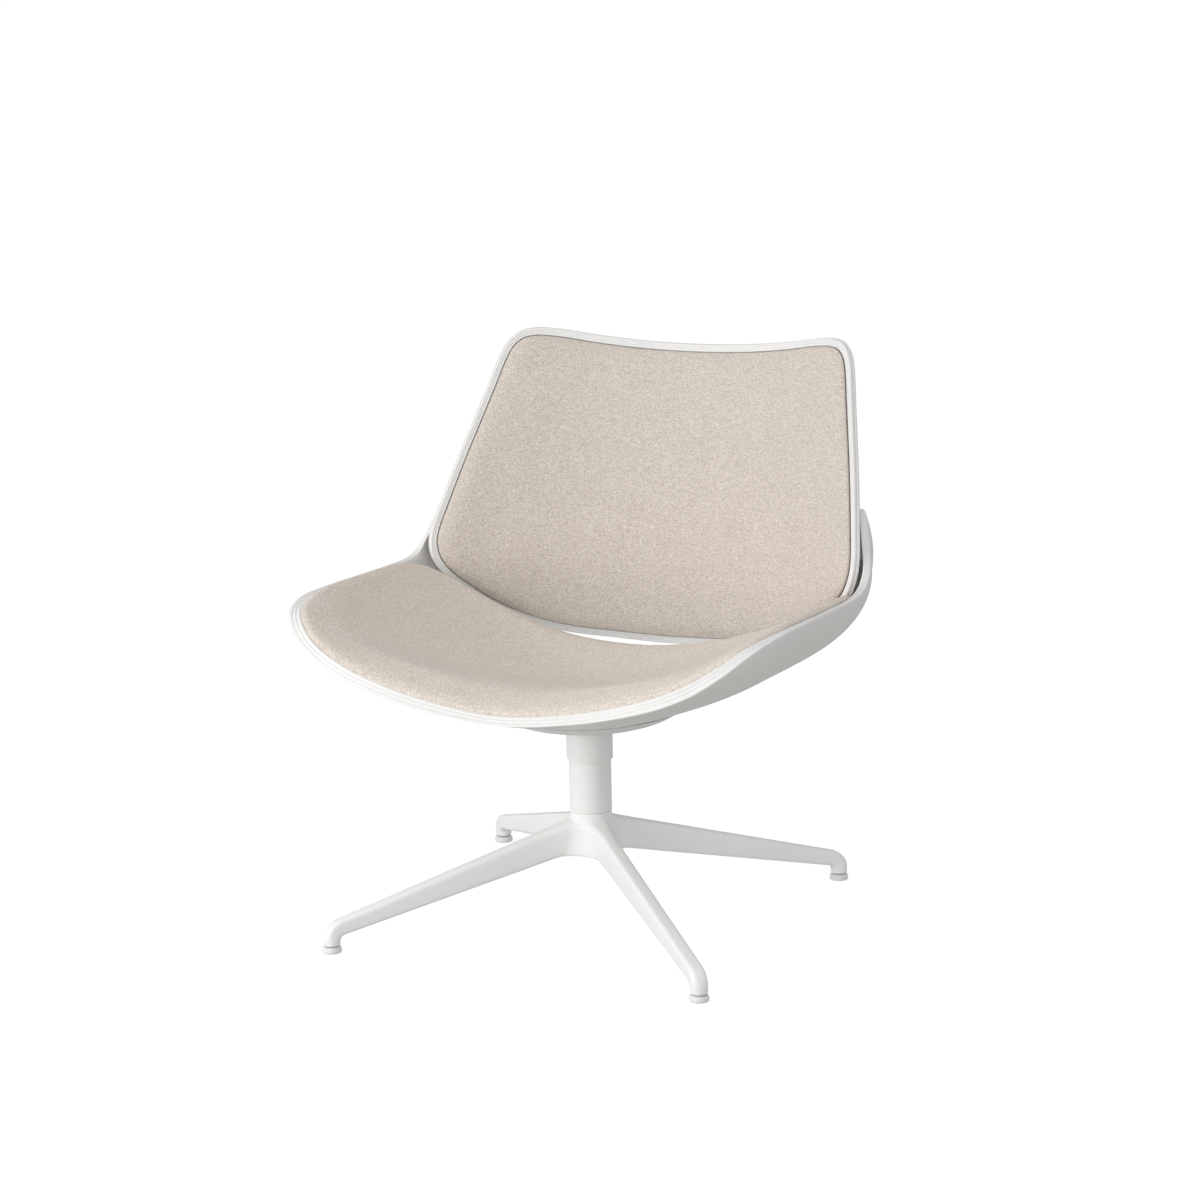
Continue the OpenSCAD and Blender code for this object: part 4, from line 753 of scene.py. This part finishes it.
# Under-seat cover: share of its radius and share of its height
COVER = [(0.5, 0), (0.6, 0.02), (0.68, 0.08), (0.75, 0.18), (0.82, 0.33), (0.88, 0.5), (0.93, 0.67),
         (0.97, 0.85), (1, 1)]
COVER_R, COVER_TOP, COVER_BOTTOM, COVER_WALL, COVER_BORE_R = 138.0, 306.0, 289.5, 2.2, 33.6
COVER_EDGE_RISE, COVER_CLEARANCE, BORE_EDGE = 5, 0.4, 0.5
# Its screws: places from the axis, bosses, holes and the seats of their heads
SCREW_REACH, SCREW_BOSS_R, SCREW_HOLE_R, SCREW_HEAD_R = 60, 6, 2.3, 4.1
BOSS_FOOT, BOSS_TOP, HEAD_SEAT, BELOW_COVER, ABOVE_COVER = 290.5, 299, 292.9, 280, 310
SHELL_SHARE, SHELL_PLACES = 0.4, 161
shell_at = np.array([rib(outer_start, rim, turn, s) for s in np.linspace(0, SHELL_SHARE, SHELL_PLACES)])
from_axis = np.hypot(shell_at[:, :, 0], shell_at[:, :, 1])
# The cover's edge follows the shell above it, so that no gap shows
above_edge = np.array([np.interp(COVER_R, from_axis[:, k], shell_at[:, k, 2]) for k in range(len(rim))])
cover_edge = np.clip(above_edge - COVER_CLEARANCE, COVER_TOP, COVER_TOP + COVER_EDGE_RISE)
heading = unit(rim[:, :2])


def cover_ring(r, z):
    return np.column_stack([r * heading, z * np.ones(len(heading))])


inner_floor = COVER_BOTTOM + COVER_WALL
rings = [cover_ring(COVER_BORE_R, COVER_BOTTOM + BORE_EDGE)]
rings.append(cover_ring(COVER_BORE_R + BORE_EDGE, COVER_BOTTOM))
rings += [cover_ring(r * COVER_R, lerp(COVER_BOTTOM, cover_edge, z)) for r, z in COVER]
rings += [cover_ring(r * COVER_R - COVER_WALL, np.maximum(inner_floor, lerp(COVER_BOTTOM, cover_edge, z)))
          for r, z in COVER[::-1]]
rings.append(cover_ring(COVER_BORE_R, inner_floor))
cover = loop_object("under_seat_pan", rings, WHITE_SHELL)
for x, y in ((1, 0), (0, 1), (-1, 0), (0, -1)):
    at_screw = SCREW_REACH * np.array([x, y, 0])
    cut(cover, at_screw, UP, BOSS_FOOT, BOSS_TOP, SCREW_BOSS_R, "UNION")
    cut(cover, at_screw, UP, BELOW_COVER, ABOVE_COVER, SCREW_HOLE_R)
    cut(cover, at_screw, UP, BELOW_COVER, HEAD_SEAT, SCREW_HEAD_R)
cover.data.set_sharp_from_angle(angle=CUT_SHARP)
dress(cover, "seat", "under_seat_cover")

# Pads: swelled by cloth pressure, so each starts a little lower; lengths of the simulation are in metres
START_LOWER = 2.5
SWELL_VOXEL, SWELL_CAP, LAST_FRAME = 0.0055, 0.005, 20
PRESSURE, STRETCH_STIFFNESS, BEND_STIFFNESS, EVENINGS = 4, 25, 2, 30
NEIGHBOURS, NEAREST_WEIGHT = 6, 0.001
BORDER_ANGLES, TUCK_ANGLES = np.radians(range(0, 91, 9)), np.radians([-60, -35, -15])
FACE_SHARES = (0.04, 0.1, 0.17, 0.25, 0.34, 0.44, 0.55, 0.67, 0.79, 0.9)


def eased(points, spread):
    """A loop evened out along itself, by spread in columns."""
    f = np.fft.rfftfreq(len(points))[:, None]
    kept = np.exp(-2 * (math.pi * f * spread) ** 2)
    return np.fft.irfft(np.fft.rfft(points, axis=0) * kept, len(points), axis=0)


def border(depth, height, bulge, rise):
    """Places over a pad's edge, distance in and height: out over the joint, then a quarter of an ellipse."""
    tuck = [(-bulge * math.cos(t), rise * (1 + math.sin(t))) for t in TUCK_ANGLES]
    return tuck + [(depth - (depth + bulge) * math.cos(t), rise + (height - rise) * math.sin(t))
                   for t in BORDER_ANGLES]


def tree_of(points):
    tree = KDTree(len(points))
    for i, p in enumerate(points):
        tree.insert(p, i)
    tree.balance()
    return tree


def nearest(points, target):
    """Distance from each point to the nearest of the target points."""
    tree = tree_of(target)
    return np.array([tree.find(p)[2] for p in points])


def held_by(low, low_reach, edge, edge_reach):
    """Tells which points are held: those near the board's side or the edge; the face is free."""
    def held(points):
        return (nearest(points, low) < low_reach) | (nearest(points, edge) < edge_reach)
    return held


def cloth_movement(copy, rest):
    """How far cloth pressure moves each vertex of a piece whose held group is pinned."""
    cloth = copy.modifiers.new("cloth", "CLOTH")
    cloth.settings.use_pressure = True
    cloth.settings.uniform_pressure_force = PRESSURE
    cloth.settings.tension_stiffness = cloth.settings.compression_stiffness = STRETCH_STIFFNESS
    cloth.settings.bending_stiffness = BEND_STIFFNESS
    cloth.settings.vertex_group_mass = "held"
    cloth.settings.effector_weights.gravity = 0
    cloth.collision_settings.use_collision = False
    for f in range(1, LAST_FRAME + 1):
        bpy.context.scene.frame_set(f)
    moved = copy.evaluated_get(bpy.context.evaluated_depsgraph_get()).to_mesh()
    delta = points_of(moved) - rest
    bpy.context.scene.frame_set(1)
    return delta


def evened(mesh, delta):
    """Movement evened out over the mesh, each vertex halfway to its neighbours' mean."""
    ends = np.zeros(len(mesh.edges) * 2, int)
    mesh.edges.foreach_get("vertices", ends)
    a, b = ends.reshape(-1, 2).T
    count = np.maximum(np.bincount(np.concatenate([a, b]), minlength=len(delta)), 1)
    for _ in range(EVENINGS):
        near = [np.bincount(a, delta[b, k], len(delta)) + np.bincount(b, delta[a, k], len(delta))
                for k in range(3)]
        delta = 0.5 * delta + 0.5 * np.column_stack(near) / count[:, None]
    return delta


def swell(obj, held):
    """Cloth pressure on a remeshed copy; the piece then follows the copy's movement, up to the cap."""
    copy = obj.copy()
    copy.data = obj.data.copy()
    bpy.context.scene.collection.objects.link(copy)
    remesh = copy.modifiers.new("remesh", "REMESH")
    remesh.mode, remesh.voxel_size = "VOXEL", SWELL_VOXEL
    apply_modifier(copy, "remesh")
    rest = points_of(copy.data)
    group = copy.vertex_groups.new(name="held")
    for i in np.flatnonzero(held(rest)):
        group.add([int(i)], 1.0, "REPLACE")
    delta = evened(copy.data, cloth_movement(copy, rest))
    delta *= np.minimum(1, SWELL_CAP / np.maximum(np.linalg.norm(delta, axis=1, keepdims=True), 1e-9))
    tree = tree_of(rest)
    own = points_of(obj.data)
    for i, p in enumerate(own.copy()):
        near = tree.find_n(p, NEIGHBOURS)
        w = np.array([1 / (d + NEAREST_WEIGHT) for _, _, d in near])
        own[i] += (delta[[k for _, k, _ in near]] * w[:, None]).sum(0) / w.sum()
    obj.data.vertices.foreach_set("co", own.ravel())
    bpy.data.objects.remove(copy, do_unlink=True)


# Seat pad: bottom close over the board, foot, and a crowned face; pairs are for its sides and its front
SEAT_BORDER, SEAT_HEIGHT, SEAT_LEAN, SEAT_BULGE = (32.0, 84.0), (14.0, 21.0), (0.95, 0.0), (5.5, 2.6)
REAR_BULGE, SEAT_RISE, LOWER_FADE, CROWN_RISE = 2.0, 3.2, 6, 1
FRONT_FROM, FRONT_FADE = 70, 160
# Evening of the loops, in columns: near the corners, over the whole face, and behind the front further in
CORNER_SPREAD, CORNER_EVENING, EDGE_EVENING, BULGE_EVENING = 8, 5, 3, 5
FACE_EVENING, FACE_FROM, FACE_FADE = 8, 3, 60
REAR_EVENING, REAR_FROM, REAR_FADE = 20, 30, 70
# Shares along the ribs of the rings over the board, and shares of the pad's foot up to its rim
BOARD_SHARES, FOOT_SHARES = np.linspace(0.1, 0.88, 12), (0.25, 0.5, 0.75, 0.93)
SEAT_LOW_REACH, SEAT_EDGE_REACH = 0.006, 0.009
lip_in = lip * (1 - PAD_JOINT / np.linalg.norm(lip, axis=1, keepdims=True))
free_at = inner_at(pad_end) + PAD_JOINT * inner_off(pad_end)
edge_climb = (np.abs(free_at[:, 0]) / (PAD_CORNER_SHARE * SEAT_HALF_W)) ** PAD_EDGE_CLIMB
edge_z = lerp(PAD_REAR_Z, PAD_CORNER_Z, edge_climb)
pad_rim = np.where(free_edge[:, None], np.column_stack([free_at[:, :2], edge_z]),
                   np.column_stack([lip_in[:, :2], lip[:, 2]]))
pad_turn = whole(PAD_SHOULDERS, COLUMNS, False)
pad_dish = floor_loop(PAD_DISH_SHARE * FLOOR_R, PAD_DISH_Z - PAD_CROWN)
face_len = np.linalg.norm(pad_rim - pad_dish, axis=1)


def face_at(s):
    return rib(pad_dish, pad_rim, pad_turn, s)


def smooth_step(f):
    return f * f * (3 - 2 * f)


column_at = np.arange(len(rim))
first = np.flatnonzero(free_edge)[0]
corner = sum(np.exp(-((column_at - k) / CORNER_SPREAD) ** 2) for k in (first, len(rim) - first))[:, None]
frontness = smooth_step(np.clip(-(rim[:, 1] + FRONT_FROM) / FRONT_FADE, 0, 1))
seat_border = lerp(*SEAT_BORDER, frontness)
seat_height = lerp(*SEAT_HEIGHT, frontness)[:, None]
side_lean = lerp(*SEAT_LEAN, frontness)
seat_bulge = np.where(free_edge, REAR_BULGE, lerp(*SEAT_BULGE, frontness))[:, None]
seat_bulge = eased(seat_bulge, BULGE_EVENING)[:, 0]
over_lip = np.where(free_edge[:, None], unit(face_at(1) - face_at(1 - RIB_STEP)), unit(rim - lip))
over_lip = unit(eased(over_lip, EDGE_EVENING))


def face_ring(d, height):
    """Ring over the face, d in from its edge, evened out along the loop further in."""
    s = 1 - np.maximum(d, 0) / face_len
    off = rib_off(face_at(s + RIB_STEP) - face_at(s - RIB_STEP), pad_rim - pad_dish)
    off[:, 2] += side_lean * np.clip(2 - d / seat_border, 0, 1)
    ring = face_at(s) + height * unit(off)
    inwards = np.min(d)
    in_front = eased(ring, FACE_EVENING * np.clip((inwards - FACE_FROM) / FACE_FADE, 0, 1))
    behind = eased(in_front, REAR_EVENING * np.clip((inwards - REAR_FROM) / REAR_FADE, 0, 1))
    ring = lerp(behind, in_front, frontness[:, None]) + np.maximum(-d, 0)[:, None] * over_lip
    return lerp(ring, eased(ring, CORNER_EVENING), corner)


lift = BOARD_GAP + BOARD_T + BOARD_GAP
low_rings = [floor_loop(FLOOR_R - SHELL_WALL - BOARD_T / 2, SEAT_FLOOR + SHELL_WALL + BOARD_T + BOARD_GAP)]
for q in BOARD_SHARES:
    low_rings.append(inner_at(q * pad_end) + lift * inner_off(q * pad_end))
low_rings.append(inner_at(pad_end - PAD_JOINT / rib_length) + 2 * BOARD_GAP * inner_off(pad_end))
pad_rings = low_rings + [lerp(low_rings[-1], pad_rim, f) for f in FOOT_SHARES]
for d, height in border(seat_border, seat_height, seat_bulge, SEAT_RISE):
    pad_rings.append(face_ring(d, height - START_LOWER * np.clip((height - SEAT_RISE) / LOWER_FADE, 0, 1)))
for f in (*FACE_SHARES, 1):
    height = lerp(seat_height, PAD_CROWN + CROWN_RISE, smooth_step(f)) - START_LOWER
    pad_rings.append(face_ring(lerp(seat_border, face_len, f), height))
seat_pad = grid_object("seat_pad_cushion", pad_rings, SEAT_FABRIC,
                       (pad_rings[0].mean(0), pad_rings[-1].mean(0)))
merge(seat_pad)
swell(seat_pad, held_by(place(np.vstack(low_rings)), SEAT_LOW_REACH, place(pad_rim), SEAT_EDGE_REACH))

# Back pad: flat against its board, rounded borders and a full face
BACK_BORDER, BACK_HEIGHT, BACK_BULGE, BACK_RISE, BACK_FULLNESS = 30.0, 15.0, 0.9, 2.6, 4.5
BACK_REAR_SHARES, BACK_REAR_EDGE_E = (0.12, 0.25, 0.4, 0.55, 0.7, 0.82, 0.91, 0.97, 0.992), 0.2
BACK_LOW_REACH, BACK_EDGE_REACH = 0.006, 0.008
spread = np.linalg.norm(outline - back_centre, axis=1, keepdims=True)
back_full = BACK_CROWN + BACK_FULLNESS


def back_face(d, height):
    """Ring over the face, d in from the outline and height in front of it; a negative d is outside."""
    q = 1 - np.maximum(d, 0) / spread
    return back_ring(q, np.maximum(-d, 0), -height)


front_rings = []
for d, height in border(BACK_BORDER, BACK_HEIGHT, BACK_BULGE, BACK_RISE):
    front_rings.append(back_face(d, height - START_LOWER * min(1, max(0, height - BACK_RISE) / LOWER_FADE)))
for f in FACE_SHARES:
    height = lerp(BACK_HEIGHT, back_full, f * (2 - f)) - START_LOWER
    front_rings.append(back_face(lerp(BACK_BORDER, spread, f), height))
back_rings = [back_ring(q, 0, BACK_PAD_E) for q in BACK_REAR_SHARES] + [back_ring(1, 0, BACK_REAR_EDGE_E)]
back_pad = grid_object("back_pad_cushion", back_rings + front_rings, BACK_FABRIC,
                       (back_apex(BACK_PAD_E), back_apex(START_LOWER - BACK_CROWN - BACK_FULLNESS)))
back_edge = place(back_ring(1, 0, 0))
swell(back_pad, held_by(place(np.vstack(back_rings)), BACK_LOW_REACH, back_edge, BACK_EDGE_REACH))
for pad, node in ((seat_pad, "seat_pad"), (back_pad, "back_pad")):
    dress(pad, "seat", node)

# Floor: wide and pale, lit a little by itself, and without influence on the chair's light
FLOOR_SIZE, FLOOR_GLOW = 600, 0.68
bpy.ops.mesh.primitive_plane_add(size=FLOOR_SIZE, location=(0, 0, 0))
floor = bpy.context.object
floor.name = "studio_floor"
mat, tree, shader = new_material("pale_floor", 0.95, level=0.0)
tone = ramp(tree, noise(tree, object_coords(tree), 2, 2), 0.3, 0.7, 0, 1)
paint(tree, shader, tone, (0.56, 0.56, 0.56), (0.54, 0.54, 0.54))
shader.inputs["Emission Color"].default_value = (1, 1, 1, 1)
shader.inputs["Emission Strength"].default_value = FLOOR_GLOW
floor.data.materials.append(mat)
floor.visible_diffuse = False
floor.visible_glossy = False

# Light: a soft sky and three large lamps; places in metres, powers in watts
SKY_BELOW, SKY_ABOVE, LAMP_AIM = (0.52, 0.515, 0.505), (0.59, 0.595, 0.6), (0, 0, 0.4)
world = bpy.data.worlds.new("studio_world")
bpy.context.scene.world = world
world.use_nodes = True
tree = world.node_tree
sky = tree.nodes["Background"]
coords = add(tree, "ShaderNodeTexCoord").outputs["Generated"]
parts = add(tree, "ShaderNodeSeparateXYZ")
tree.links.new(coords, parts.inputs["Vector"])
sky_tone = blend_colours(tree, ramp(tree, parts.outputs["Z"], -0.4, 0.5, 0, 1), SKY_BELOW, SKY_ABOVE)
tree.links.new(sky_tone, sky.inputs["Color"])


def lamp(name, at, size, power):
    data = bpy.data.lights.new(name, "AREA")
    data.shape, data.size, data.energy = "DISK", size, power
    obj = bpy.data.objects.new(name, data)
    bpy.context.scene.collection.objects.link(obj)
    obj.location = at
    obj.rotation_mode = "QUATERNION"
    obj.rotation_quaternion = (Vector(LAMP_AIM) - Vector(at)).to_track_quat("-Z", "Y")


lamp("key", (-2.0, -2.9, 1.2), 2.0, 66)
lamp("fill", (1.3, -3.3, 1.9), 1.8, 20)
lamp("top", (0.0, -0.4, 3.4), 2.6, 12)

# Camera, fitted to the photo: angles in degrees, focal length in pixels of its width, place in millimetres
YAW, PITCH, ROLL, CHAIR_TURN = 0.27, 12.70, -1.27, 24.473
FOCAL_PX, PHOTO_PX, SENSOR_MM, CAMERA_AT = 3007.12, 1200, 36, [1698.3, -3731.2, 1384.4]
yaw, pitch, roll, az = (math.radians(v) for v in (YAW, PITCH, ROLL, CHAIR_TURN))
forward = np.array([math.sin(yaw) * math.cos(pitch), math.cos(yaw) * math.cos(pitch), -math.sin(pitch)])
level_right = np.array([math.cos(yaw), -math.sin(yaw), 0])
level_up = np.cross(level_right, forward)
right = math.cos(roll) * level_right + math.sin(roll) * level_up
above = -math.sin(roll) * level_right + math.cos(roll) * level_up
to_chair = np.array([[math.cos(az), -math.sin(az), 0], [math.sin(az), math.cos(az), 0], [0, 0, 1]])
right, above, forward = (to_chair @ v for v in (right, above, forward))
at = place(CAMERA_AT)
cam_data = bpy.data.cameras.new("photo_camera")
camera = bpy.data.objects.new("photo_camera", cam_data)
bpy.context.scene.collection.objects.link(camera)
cam_data.sensor_width, cam_data.lens = SENSOR_MM, FOCAL_PX / PHOTO_PX * SENSOR_MM
cam_data.clip_start, cam_data.clip_end = 0.1, 100
camera.matrix_world = Matrix([*([right[k], above[k], -forward[k], at[k]] for k in range(3)), [0, 0, 0, 1]])
bpy.context.scene.camera = camera
bpy.context.scene.view_settings.view_transform = "Standard"
